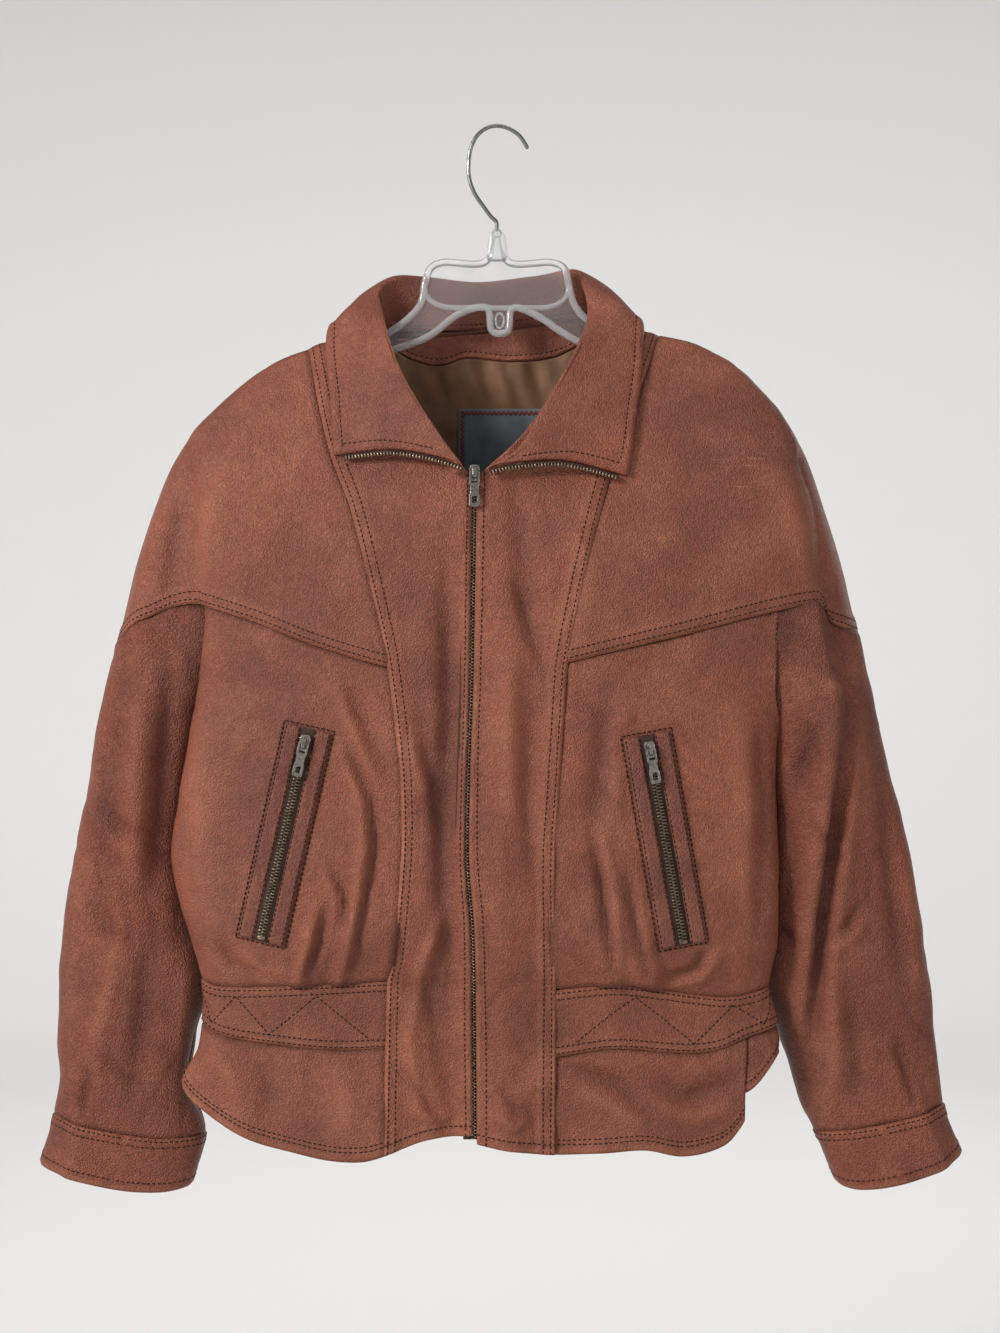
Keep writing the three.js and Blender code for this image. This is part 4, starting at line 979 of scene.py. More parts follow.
def make_hide_tone():
    """Blotched dye, worn pale on raised edges with a painted highlight on fold ridges, and dark with dirt
    and painted shade in seams, folds, creases and beside the body.
    """
    colour, value = "NodeSocketColor", "NodeSocketFloat"
    tree, start, end = group_of(
        "hide_tone",
        [("Dye", colour), ("Pale", colour), ("Dark", colour),
         ("Wear", value), ("Grime", value), ("Scuff", value)],
        [("Color", colour), ("Roughness", value)])
    place = put(tree, "ShaderNodeTexCoord").outputs["Object"]
    broad = remap(tree, noise(tree, 7.5, 6, place, 0.6), 0.36, 0.66)
    patch = remap(tree, noise(tree, 21, 7, place, 0.66), 0.46, 0.70)
    cloud = remap(tree, noise(tree, 13, 5, place, 0.6), 0.5, 0.74)
    speck = remap(tree, noise(tree, 260, 4, place, 0.7), 0.34, 0.66)
    pores = put(tree, "ShaderNodeTexVoronoi", feature="DISTANCE_TO_EDGE")
    pores.inputs["Scale"].default_value = 420
    tree.links.new(place, pores.inputs["Vector"])
    crack = remap(tree, pores.outputs["Distance"], 0.0, 0.16, 1.0, 0.0)
    pale, dark = start.outputs["Pale"], start.outputs["Dark"]
    tone = start.outputs["Dye"]
    # The grime mask mixes seam dirt with painted shade; the wear mask below adds rubbed pale edges and a
    # painted highlight on fold ridges.
    for mask, share, shade in ((broad, 0.55, dark), (patch, 0.5, pale), (cloud, 0.45, PURPLE_PATCH),
                               (speck, 0.42, dark), (crack, 0.45, dark),
                               (start.outputs["Grime"], 0.62, DIRT_AND_SHADE)):
        tone = mixed(tree, math_node(tree, "MULTIPLY", mask, share), tone, shade)
    rub_and_highlight = math_node(tree, "MULTIPLY", start.outputs["Wear"], remap(tree, speck, 0, 1, 0.4, 0.9))
    tone = mixed(tree, rub_and_highlight, tone, pale)
    streak = put(tree, "ShaderNodeMapping")
    streak.inputs["Rotation"].default_value = (0, math.radians(38), 0)
    streak.inputs["Scale"].default_value = (45, 45, 700)
    tree.links.new(place, streak.inputs["Vector"])
    scratch = remap(tree, noise(tree, 1.0, 2, streak.outputs["Vector"]), 0.60, 0.70)
    mark = math_node(tree, "MULTIPLY", scratch, start.outputs["Scuff"])
    tone = mixed(tree, math_node(tree, "MULTIPLY", mark, 0.5), tone, SCUFF_PALE)
    tree.links.new(tone, end.inputs["Color"])
    dull = remap(tree, broad, 0, 1, 0.40, 0.50)
    for mask, share in ((patch, 0.10), (mark, 0.2)):
        dull = math_node(tree, "ADD", dull, math_node(tree, "MULTIPLY", mask, share))
    tree.links.new(dull, end.inputs["Roughness"])
    return tree


def make_hide_grain():
    """Pebbled grain with fine creases."""
    value = "NodeSocketFloat"
    tree, start, end = group_of("hide_grain", [("Pebble", value), ("Crease", value)], [("Height", value)])
    place = put(tree, "ShaderNodeTexCoord").outputs["Object"]
    cell = put(tree, "ShaderNodeTexVoronoi", feature="SMOOTH_F1")
    cell.inputs["Scale"].default_value = 680
    cell.inputs["Smoothness"].default_value = 0.35
    tree.links.new(place, cell.inputs["Vector"])
    swell = remap(tree, cell.outputs["Distance"], 0, 0.7, 1.0, 0.0)
    pebble = math_node(tree, "MULTIPLY", swell, start.outputs["Pebble"])
    fine = math_node(tree, "MULTIPLY", noise(tree, 300, 6, place, 0.68), start.outputs["Crease"])
    deep = math_node(tree, "MULTIPLY", start.outputs["Crease"], 1.3)
    soft = math_node(tree, "MULTIPLY", noise(tree, 85, 4, place, 0.6), deep)
    tree.links.new(math_node(tree, "ADD", math_node(tree, "ADD", fine, soft), pebble), end.inputs["Height"])
    return tree


def make_thread_weave():
    """Crossing threads of a woven cloth."""
    value = "NodeSocketFloat"
    tree, start, end = group_of("thread_weave", [("Threads", value)], [("Height", value), ("Shade", value)])
    place = put(tree, "ShaderNodeTexCoord").outputs["Object"]
    scaled = put(tree, "ShaderNodeVectorMath", operation="SCALE")
    tree.links.new(place, scaled.inputs[0])
    tree.links.new(start.outputs["Threads"], scaled.inputs["Scale"])
    weave = []
    for axis in ("X", "Z"):
        wave = put(tree, "ShaderNodeTexWave", bands_direction=axis)
        wave.inputs["Scale"].default_value = 1
        wave.inputs["Distortion"].default_value = 0.6
        tree.links.new(scaled.outputs[0], wave.inputs["Vector"])
        weave.append(wave.outputs["Fac"])
    tree.links.new(math_node(tree, "MULTIPLY", *weave), end.inputs["Height"])
    tree.links.new(remap(tree, noise(tree, 60, 4, place), 0.3, 0.7, 0.0, 1.0), end.inputs["Shade"])
    return tree


def make_tarnish():
    """Dark tarnish in patches on bright metal."""
    colour, value = "NodeSocketColor", "NodeSocketFloat"
    tree, start, end = group_of("tarnish", [("Bright", colour), ("Dull", colour)],
                                [("Color", colour), ("Roughness", value)])
    place = put(tree, "ShaderNodeTexCoord").outputs["Object"]
    spread = remap(tree, noise(tree, 420, 5, place, 0.6), 0.4, 0.64)
    tree.links.new(mixed(tree, spread, start.outputs["Bright"], start.outputs["Dull"]), end.inputs["Color"])
    tree.links.new(remap(tree, spread, 0, 1, 0.26, 0.5), end.inputs["Roughness"])
    return tree


def placed(tree, source, **values):
    """Puts a group into a material with its own values."""
    node = put(tree, "ShaderNodeGroup")
    node.node_tree = source
    for name, value in values.items():
        socket = node.inputs[name]
        if isinstance(value, (int, float)):
            socket.default_value = value
        elif hasattr(value, "is_output"):
            tree.links.new(value, socket)
        else:
            socket.default_value = (*value[:3], 1)
    return node


def new_material(name, **constants):
    material = bpy.data.materials.new(name)
    material.use_nodes = True
    shader = material.node_tree.nodes["Principled BSDF"]
    for label, value in constants.items():
        shader.inputs[label.replace("_", " ")].default_value = value
    return material, material.node_tree, shader


def bumped(tree, shader, height, strength, distance):
    node = put(tree, "ShaderNodeBump")
    node.inputs["Strength"].default_value = strength
    node.inputs["Distance"].default_value = distance
    tree.links.new(height, node.inputs["Height"])
    tree.links.new(node.outputs["Normal"], shader.inputs["Normal"])


def hide_material(name, groups, dye, pale, dark, pebble, crease):
    material, tree, shader = new_material(name, Specular_IOR_Level=0.34, IOR=1.45)
    facts = {}
    for label in ("wear", "grime", "scuff"):
        facts[label.capitalize()] = put(tree, "ShaderNodeAttribute", attribute_name=label).outputs["Fac"]
    tone = placed(tree, groups["tone"], Dye=dye, Pale=pale, Dark=dark, **facts)
    tree.links.new(tone.outputs["Color"], shader.inputs["Base Color"])
    tree.links.new(tone.outputs["Roughness"], shader.inputs["Roughness"])
    grain = placed(tree, groups["grain"], Pebble=pebble, Crease=crease)
    bumped(tree, shader, grain.outputs["Height"], 0.9, 0.0016)
    return material


def cloth_material(name, groups, colour, shade, threads, roughness, sheen):
    material, tree, shader = new_material(name, Roughness=roughness, Sheen_Weight=sheen,
                                          Specular_IOR_Level=0.2)
    weave = placed(tree, groups["weave"], Threads=threads)
    tone = mixed(tree, weave.outputs["Shade"], colour, shade)
    tree.links.new(tone, shader.inputs["Base Color"])
    bumped(tree, shader, weave.outputs["Height"], 0.4, 0.0003)
    return material


def metal_material(name, groups, bright, dull):
    material, tree, shader = new_material(name, Metallic=1.0)
    tone = placed(tree, groups["tarnish"], Bright=bright, Dull=dull)
    tree.links.new(tone.outputs["Color"], shader.inputs["Base Color"])
    tree.links.new(tone.outputs["Roughness"], shader.inputs["Roughness"])
    return material


MATERIALS = {}
WELT_DYE = (0.185, 0.055, 0.040)
# The sleeves take the body's dye made darker and redder
SLEEVE_SHARE = (0.88, 0.82, 0.84)


def make_materials(colours):
    groups = {"tone": make_hide_tone(), "grain": make_hide_grain(), "weave": make_thread_weave(),
              "tarnish": make_tarnish()}
    dye, pale, dark = tuple(colours.dye), tuple(colours.pale), tuple(colours.dark)
    red = [part * share for part, share in zip(dye, SLEEVE_SHARE)]
    thread = tuple(colours.thread)
    for key, name, tint, pebble, crease in (("hide", "worn_hide", dye, 0.5, 0.5),
                                            ("sleeve", "sleeve_hide", red, 0.8, 0.75),
                                            ("welt", "welt_hide", WELT_DYE, 0.7, 0.8)):
        MATERIALS[key] = hide_material(name, groups, tint, pale, dark, pebble, crease)
    for key, name, colour, shade, threads, roughness, sheen in (
            ("satin", "satin_lining", (0.125, 0.057, 0.026), (0.20, 0.098, 0.045), 9000, 0.38, 0.2),
            ("label", "label_cloth", (0.125, 0.145, 0.15), (0.075, 0.09, 0.10), 5200, 0.9, 0.2),
            ("tape", "zip_tape", (0.032, 0.018, 0.013), (0.06, 0.034, 0.024), 7000, 0.85, 0.0),
            ("thread", "sewing_thread", thread, [c * 0.6 for c in thread], 12000, 0.8, 0.0),
            ("red", "red_thread", (0.17, 0.026, 0.025), (0.10, 0.016, 0.016), 12000, 0.7, 0.2)):
        MATERIALS[key] = cloth_material(name, groups, colour, shade, threads, roughness, sheen)
    for key, name, bright, dull in (
            ("brass", "aged_brass", (0.33, 0.25, 0.17), (0.09, 0.068, 0.052)),
            ("nickel", "aged_nickel", (0.34, 0.32, 0.28), (0.12, 0.105, 0.085)),
            ("wire", "hook_wire", (0.30, 0.30, 0.31), (0.15, 0.15, 0.15))):
        MATERIALS[key] = metal_material(name, groups, bright, dull)
    for name, milk, index in (("clear", 0.93, 1.2), ("clear_rod", 0.78, 1.4)):
        clear, tree, shader = new_material(name + "_plastic", Roughness=0.08, IOR=index,
                                           Transmission_Weight=milk)
        place = put(tree, "ShaderNodeTexCoord").outputs["Object"]
        haze = remap(tree, noise(tree, 60, 3, place), 0.3, 0.7)
        tint = mixed(tree, haze, (0.98, 0.98, 0.985), (0.92, 0.925, 0.93))
        tree.links.new(tint, shader.inputs["Base Color"])
        MATERIALS[name] = clear


# Settings a user would change


class JacketSizes(bpy.types.PropertyGroup):
    """Sizes of the jacket's leather and sewing"""

    leather: FloatProperty(name="Leather", description="Thickness of the panels",
                          default=0.0018, unit="LENGTH")
    band: FloatProperty(name="Band", description="Thickness of waistband and cuffs",
                          default=0.0024, unit="LENGTH")
    collar: FloatProperty(name="Collar", description="Thickness of the collar",
                          default=0.0024, unit="LENGTH")
    pitch: FloatProperty(name="Stitch pitch", description="From stitch to stitch",
                          default=0.0042, unit="LENGTH")
    stitch: FloatProperty(name="Stitch", description="Length of a stitch that shows",
                          default=0.0031, unit="LENGTH")
    thread: FloatProperty(name="Thread", description="Width of the thread",
                          default=0.0010, unit="LENGTH")
    teeth: FloatProperty(name="Zip teeth", description="From tooth to tooth",
                          default=0.0026, unit="LENGTH")


class JacketColours(bpy.types.PropertyGroup):
    """Colours of the jacket"""

    dye: FloatVectorProperty(name="Dye", description="Leather's main colour", subtype="COLOR",
                             default=(0.300, 0.086, 0.044))
    pale: FloatVectorProperty(name="Pale", description="Leather where it is rubbed", subtype="COLOR",
                              default=(0.43, 0.155, 0.083))
    dark: FloatVectorProperty(name="Dark", description="Leather's dark patches", subtype="COLOR",
                              default=(0.098, 0.029, 0.020))
    thread: FloatVectorProperty(name="Thread", description="Sewing thread", subtype="COLOR",
                                default=(0.030, 0.012, 0.009))


def sizes():
    return bpy.context.scene.jacket_sizes


def in_mm(value):
    return value / MM


def forward(u, v):
    return 0 * u, 0 * u - 1, 0 * u


def rearward(u, v):
    return 0 * u, 0 * u + 1, 0 * u


def keep_front(p):
    p[..., 1] = np.minimum(p[..., 1], seam_plane(p[..., 2]) + SEAM_GAP)
    return p


def keep_back(p):
    p[..., 1] = np.maximum(p[..., 1], seam_plane(p[..., 2]) - SEAM_GAP)
    return p


def round_front(s):
    return lambda u, v: (s.sign * u * u, -1 + 0.9 * u * u, 0 * u)


def centre_patch(s):
    hem_at_zip = s.hem(zip_line(-820))
    seam_foot = s.hem(s.princess(-829))
    seam_top = ridge(s.shoulder_seam) - 0.2
    neck = along_path(s.neck, 400)
    share = np.linspace(0, 1, 400)

    def zip_edge(v):
        z = lerp(hem_at_zip, -290, v)
        return zip_line(z) + s.sign * 1.6, z

    def panel_seam(v):
        z = lerp(seam_foot, seam_top, v)
        return s.princess(z), z

    def hem_edge(u):
        x = lerp(zip_edge(0.0)[0], s.princess(seam_foot), u)
        return x, s.hem(x)

    def neck_edge(u):
        return np.interp(u, share, neck[:, 0]), np.interp(u, share, neck[:, 1])

    flat = coons(hem_edge, neck_edge, zip_edge, panel_seam)

    def at(u, v):
        x, z = flat(u, v)
        return x, centre_at(s, x, z), z

    return at


def yoke_patch(s):
    seam_top = ridge(s.shoulder_seam) - 0.2
    tip_z = ridge(s.shoulder_tip)
    out_foot = s.yoke(s.sign * 320)

    def inner_edge(v):
        z = lerp(s.yoke_end[1], seam_top, v)
        return s.princess(z), z

    def outer_edge(v):
        z = lerp(out_foot, tip_z, v)
        return s.sleeve_outer(z), z

    def foot_edge(u):
        x = lerp(s.princess(s.yoke_end[1]), s.sleeve_outer(out_foot), u)
        return x, s.yoke(x)

    def top_edge(u):
        x = lerp(s.shoulder_seam, s.shoulder_tip, u)
        return x, ridge(x)

    flat = coons(foot_edge, top_edge, inner_edge, outer_edge)

    def at(u, v):
        u = towards_end(u)
        v = towards_end(v)
        x, z = flat(u, v)
        base = seam_plane(z)
        depth = soft_max(torso_layer(x, z, False), sleeve_layer(s, x, z, False)) + base
        return x, base - depth * quarter_round((1 - v) / RIDGE_REACH) * quarter_round((1 - u) / 0.08), z

    return at


def towards_end(t):
    return np.sin(t * math.pi / 2) * 0.6 + t * 0.4


class JACKET_OT_fronts(bpy.types.Operator):
    """Builds the centre fronts, yokes, lower fronts, waistbands and peplums"""

    bl_idname = "jacket.fronts"
    bl_label = "Fronts"

    def execute(self, context):
        hide = MATERIALS["hide"]
        leather, band = in_mm(sizes().leather), in_mm(sizes().band)
        for s in SIDES:
            seed = 3 if s is RIGHT else 8
            hide_panel("centre_front_" + s.name, centre_patch(s), hide, leather, forward,
                       {"u0": "zip", "u1": "lap", "v0": "hem"}, FRONT_FOLDS, seed, size=2.5,
                       limit=keep_front, creases=0.8)
            hide_panel("front_yoke_" + s.name, yoke_patch(s), hide, leather, forward,
                       {"u0": "under", "v0": "lap", "v1": "under"}, FRONT_FOLDS, seed + 1,
                       gaps=(0, 0.2), limit=keep_front, creases=0.35)
            inner = lambda z, s=s: torso_angle(s.princess(z), z)
            outer = lambda z, s=s: s.sign * s.side_seam(z)
            lower = ring_patch(lambda a, z, s=s: lower_at(s, a, z), inner, outer, s.waist_top, s.yoke)
            hide_panel("lower_front_" + s.name, lower, hide, leather, round_front(s),
                       {"u0": "under", "v0": "under", "v1": "under"}, FRONT_FOLDS, seed + 2,
                       size=2.5, creases=0.6, still=lambda x, z, s=s: near_pocket(s, x, z))
            waist = ring_patch(torso, inner, outer, s.waist_foot, s.waist_top)
            hide_panel("front_waistband_" + s.name, waist, hide, band, round_front(s),
                       {"u0": "under", "v0": "band", "v1": "band"}, (), seed + 3,
                       waves=0.6, darkening_and_shade=0.16, creases=0.5)
            hem_angle = lambda z, s=s: s.sign * s.hem_seam(z)
            peplum = ring_patch(peplum_at, inner, hem_angle, s.hem, s.waist_foot)
            hide_panel("front_peplum_" + s.name, peplum, hide, leather, round_front(s),
                       {"u0": "under", "v0": "hem", "v1": "under"}, FRONT_FOLDS, seed + 4,
                       waves=1.0, darkening_and_shade=0.08, creases=0.6)
        return {"FINISHED"}


def painted_shade_beside_body(skin):
    """Painted shade on the side of a sleeve that rests against the body."""
    return 0.85 * (1 - smooth(4, 34, skin.edge["u0"])) * (1 - smooth(-740, -800, skin.place[..., 2]))


class JACKET_OT_sleeves(bpy.types.Operator):
    """Builds the sleeves' front and back halves and the cuffs"""

    bl_idname = "jacket.sleeves"
    bl_label = "Sleeves"

    def execute(self, context):
        hide = MATERIALS["sleeve"]
        leather, band = in_mm(sizes().leather), in_mm(sizes().band)
        for s in SIDES:
            form = lambda a, z, s=s: leaning_sleeve(s, a, z)
            fixed = lambda angle: (lambda z: angle + 0 * z)
            front = ring_patch(form, fixed(-89.5), fixed(89.9), s.cuff_top, s.yoke)
            seed = 21 if s is RIGHT else 25
            # The sleeve's side that rests against the body gets painted shade.
            hide_panel("sleeve_front_" + s.name, front, hide, leather,
                       lambda u, v, s=s: (s.sign * (2 * u - 1), 0 * u - 0.6, 0 * u),
                       {"v0": "under", "v1": "under"}, SLEEVE_FOLDS, seed, size=2.5, gaps=(0.2, 0.9),
                       waves=1.2, creases=1.3, darkening_and_shade=painted_shade_beside_body)
            back = ring_patch(form, fixed(90.1), fixed(269.5), s.cuff_top, back_yoke_foot)
            hide_panel("sleeve_back_" + s.name, back, hide, leather,
                       lambda u, v, s=s: (s.sign * (1 - 2 * u), 0 * u + 0.6, 0 * u),
                       ALL_UNDER, SLEEVE_FOLDS, seed + 1, size=3.4, gaps=(0.2, 0.9),
                       waves=1.2, creases=1.2)

            def cuff(u, v, s=s):
                angle = 360 * u
                z = -840 + 0 * u
                for _ in range(6):
                    x = sleeve_at(s, angle, z)[0]
                    z = lerp(s.cuff_foot(x), s.cuff_top(x), v)
                return sleeve_at(s, angle, z)

            hide_panel("cuff_" + s.name, cuff, hide, band,
                       lambda u, v, s=s: (s.sign * np.sin(u * 6.2832), -np.cos(u * 6.2832), 0 * u),
                       {"v0": "hem", "v1": "band"}, (), seed + 2, closed=True, waves=0.8, creases=0.5)
        return {"FINISHED"}


class JACKET_OT_back(bpy.types.Operator):
    """Builds the back yoke, panel, waistband and peplum"""

    bl_idname = "jacket.back"
    bl_label = "Back"

    def execute(self, context):
        hide = MATERIALS["hide"]
        leather, band = in_mm(sizes().leather), in_mm(sizes().band)

        def foot_edge(u):
            x = lerp(RIGHT.sleeve_outer(-423), LEFT.sleeve_outer(-414), u)
            return x, back_yoke_foot(x)

        def top_edge(u):
            x = lerp(RIGHT.shoulder_tip, LEFT.shoulder_tip, u)
            return x, back_top(x)

        def side_edge(s, low, high):
            return lambda v: (s.sleeve_outer(lerp(low, high, v)), lerp(low, high, v))

        flat = coons(foot_edge, top_edge, side_edge(RIGHT, -423, -247), side_edge(LEFT, -414, -231))

        def yoke(u, v):
            x, z = flat(u, towards_end(v))
            return x, back_at(x, z), z

        hide_panel("back_yoke", yoke, hide, leather, rearward, {"v0": "lap", "v1": "under"}, BACK_FOLDS, 41,
                   size=3.4, gaps=(0, 0.2), limit=keep_back, creases=0.5)

        def round_back(first):
            def out(u, v):
                a = np.radians(lerp(first, 263, u))
                return np.sin(a), -np.cos(a), 0 * u
            return out

        fixed = lambda angle: (lambda z: angle + 0 * z)
        first, last = fixed(97.5), fixed(262.5)
        panel = ring_patch(torso, first, last, back_waist_top, back_yoke_foot)
        hide_panel("back_panel", panel, hide, leather, round_back(97), ALL_UNDER, BACK_FOLDS, 42,
                   size=4, creases=1.0)
        waist = ring_patch(torso, first, last, back_waist_foot, back_waist_top)
        hide_panel("back_waistband", waist, hide, band, round_back(97),
                   {"v0": "band", "v1": "band"}, (), 43, size=3.4)
        low_top = lambda x: back_waist_foot(x) - 0.8
        peplum = ring_patch(peplum_at, fixed(62.3), last, back_hem, low_top)
        hide_panel("back_peplum", peplum, hide, leather, round_back(62), {**ALL_UNDER, "v0": "hem"},
                   BACK_FOLDS, 44, size=3.4, gaps=(0.2, 0.5), creases=0.8)
        return {"FINISHED"}


def collar_patch():
    stations = []
    for i, row in enumerate(COLLAR):
        at_front = i < COLLAR_FRONT or i >= len(COLLAR) - COLLAR_FRONT
        places = []
        for x, y, z in row:
            s = RIGHT if x < -15 else LEFT
            places.append((x, min(float(centre_at(s, x, z)), 0) - y if at_front else y, z))
        stations.append(places)
    stations = np.array(stations)

    def at(u, v):
        if np.ndim(u) == 1:
            rails = catmull(stations, u)
            place = np.stack([catmull(rails[k], np.array([v[k]]))[0] for k in range(len(u))])
        else:
            rails = catmull(stations, u[0]).transpose(1, 0, 2)
            place = catmull(rails, v[:, 0])
        return place[..., 0], place[..., 1], place[..., 2]

    return at


COLLAR_AT = collar_patch()


class JACKET_OT_collar(bpy.types.Operator):
    """Builds the folded collar, the neck facing, the lining and the plain label patch"""

    bl_idname = "jacket.collar"
    bl_label = "Collar and neck"

    def execute(self, context):
        hide = MATERIALS["hide"]

        def padding(skin):
            fall = smooth(0.42, 0.6, skin.v)
            ends = np.minimum(skin.edge["u0"], skin.edge["u1"])
            near = np.minimum(ends / np.maximum(fall, 0.02), skin.edge["v1"])
            roll = 0.7 * bump(near - 4, 3) - 0.6 * bump(near - 8.2, 1.1) - 1.3 * bump(near, 1.3)
            return roll + 0.5 * crumple(skin.place[..., 0], skin.place[..., 2], 62, 30) * (1 - fall)

        hide_panel("collar", COLLAR_AT, hide, in_mm(sizes().collar), None, {}, (), 61, size=2.2,
                   gaps=(0, 0), extra=padding, waves=1.1)
        leather = in_mm(sizes().leather)

        def inside_back(x, z, depth):
            return x, back_at(x, z) - depth, z

        def facing(u, v):
            x = lerp(-84, 70, u)
            return inside_back(x, lerp(facing_foot(x), back_top(x) - 2.5, v), leather + 2.4)

        hide_panel("neck_facing", facing, hide, 1.2, forward, {"v0": "hem"}, (), 63, size=2.2, waves=0.3)

        def gather(x, z):
            return 1.6 * np.sin(x / 7.5) * smooth(-300, -190, z)

        def lining(u, v):
            x = lerp(-104, 90, u)
            z = lerp(-395, facing_foot(x) - 0.6, v)
            return inside_back(x, z, leather + 3.4 + gather(x, z))

        def crinkle(skin):
            x, z = skin.place[..., 0], skin.place[..., 2]
            gathers = np.sin(x / 3.3 + 2 * np.sin(z / 17)) * smooth(-250, -195, z)
            return 1.3 * gathers + 1.2 * crumple(x, z, 71, 26)

        hide_panel("back_lining", lining, MATERIALS["satin"], 0.9, forward, {}, (), 64, size=2.4, waves=0,
                   extra=crinkle)

        def label(u, v):
            x = lerp(-33, 45, u)
            z = lerp(-291, -227, v)
            return x, back_at(x, z) - leather - 3.4 - 2.2 - 1.4, z

        hide_panel("neck_label", label, MATERIALS["label"], 0.8, forward, ALL_WELT, (), 65, size=2.0,
                   waves=0.5)
        return {"FINISHED"}


def zigzag_border(skin, inset, step):
    """Places and normals of a zigzag that runs round a panel just inside its edges."""
    us, vs = [], []
    wide, tall = skin.long_u, skin.long_v
    for start, end in (((0, 0), (1, 0)), ((1, 0), (1, 1)), ((1, 1), (0, 1)), ((0, 1), (0, 0))):
        count = int(np.hypot((end[0] - start[0]) * wide, (end[1] - start[1]) * tall) / step)
        for k in range(count):
            t = k / count
            depth = inset * (0.5 if k % 2 else 1.5)
            u, v = lerp(start[0], end[0], t), lerp(start[1], end[1], t)
            us.append(np.clip(u, depth / wide, 1 - depth / wide))
            vs.append(np.clip(v, depth / tall, 1 - depth / tall))
    return skin.sample(np.array(us), np.array(vs))


# Foot and top of the front zip, and half the width and the thickness of its tape
ZIP_FOOT = -817
ZIP_TOP = -292
TAPE_HALF = 9
TAPE_THICK = 0.8


def set_teeth(name, shape, centres, axes, nodes=()):
    """Brass teeth of one shape, along, high and across, set at many places."""
    points, faces = repeated(*tooth(*shape), centres, axes)
    settle(new_mesh(name, points, faces, MATERIALS["brass"]), nodes)


class JACKET_OT_zips(bpy.types.Operator):
    """Builds the front zip's chain, its open halves along the collar, and finishes sliders and tabs"""

    bl_idname = "jacket.zips"
    bl_label = "Front zip"

    def execute(self, context):
        leather = in_mm(sizes().leather)
        pitch = in_mm(sizes().teeth)
        z = np.arange(ZIP_FOOT + 1, ZIP_TOP - 2, pitch / 2)
        depth = centre_at(RIGHT, zip_line(z), z) + leather + 1.1
        path = np.stack([zip_line(z), depth, z], -1)
        normals = np.tile([0.0, -1.0, 0.0], (len(z), 1))
        along, up, across = frames_on(path, normals)
        shift = np.where(np.arange(len(z)) % 2, 1.1, -1.1)[:, None]
        set_teeth("front_zip_teeth", (pitch * 0.40, 1.8, 3.0), path + across * shift + up * 0.4,
                  (along, up, across), ("zip_chain",))

        def tape_at(u, v):
            z = lerp(ZIP_FOOT, ZIP_TOP, v)
            depth = centre_at(RIGHT, zip_line(z), z) + leather + 2.2
            return zip_line(z) + lerp(-TAPE_HALF, TAPE_HALF, u), depth, z

        tape = Skin(tape_at, 4, {"u0": 0, "u1": 0, "v0": 0, "v1": 0})
        tape.orient(forward)
        under = tape.place - tape.normal * TAPE_THICK
        points = np.concatenate([tape.place.reshape(-1, 3), under.reshape(-1, 3)])
        sides = faces_of(*tape.place.shape[:2], False, tape.turned)
        settle(new_mesh("front_zip_tape", points, sides, MATERIALS["tape"]))
        for s, end, drop in ((RIGHT, 0.0, 1.1), (LEFT, 1.0, 1.9)):
            u = np.full(90, end)
            x, y, z = COLLAR_AT(u, np.linspace(0.37, 0.95, 90))
            edge = np.stack([x, y + 0.4, z - drop], -1)
            normals = np.tile([0.0, -1.0, 0.0], (90, 1))
            places, facing = spaced(edge - [0, 0, 2.7], normals, pitch)
            along, up, across = frames_on(places, facing)
            set_teeth("collar_zip_teeth_" + s.name, (pitch * 0.55, 2.0, 3.2), places + up * 0.3,
                      (along, up, across), ("zip_open_" + s.name,))
            strip = np.stack([edge, edge - [0, 0, 2.6]])
            strip = np.concatenate([strip + [0, 0.2, 0], strip + [0, 1.2, 0]]).reshape(-1, 3)
            sides = faces_of(2, 90, False, s is RIGHT)
            settle(new_mesh("collar_zip_tape_" + s.name, strip, sides, MATERIALS["tape"]))
        for name in ("front", "pocket_right", "pocket_left"):
            for node in ("zip_slider_" + name, "zip_tab_" + name):
                finish_hard_node(node, MATERIALS["nickel"], 0.00045)
        return {"FINISHED"}


def finish_hard_node(node, material, bevel):
    """Rounds the edges of a hard solid and gives it its finish."""
    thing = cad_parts[node]
    weld = thing.modifiers.new("weld", "WELD")
    weld.merge_threshold = 0.00002
    rounding = thing.modifiers.new("rounding", "BEVEL")
    rounding.width = bevel
    rounding.segments = 3
    rounding.limit_method = "ANGLE"
    rounding.angle_limit = math.radians(35)
    thing.data.materials.clear()
    thing.data.materials.append(material)


TAPE_WIDTH = 13
WELT_WIDTH = 12
WELT_WALL = 1.5
# How far a welt runs over the tape's edge
WELT_REACH = 1.6


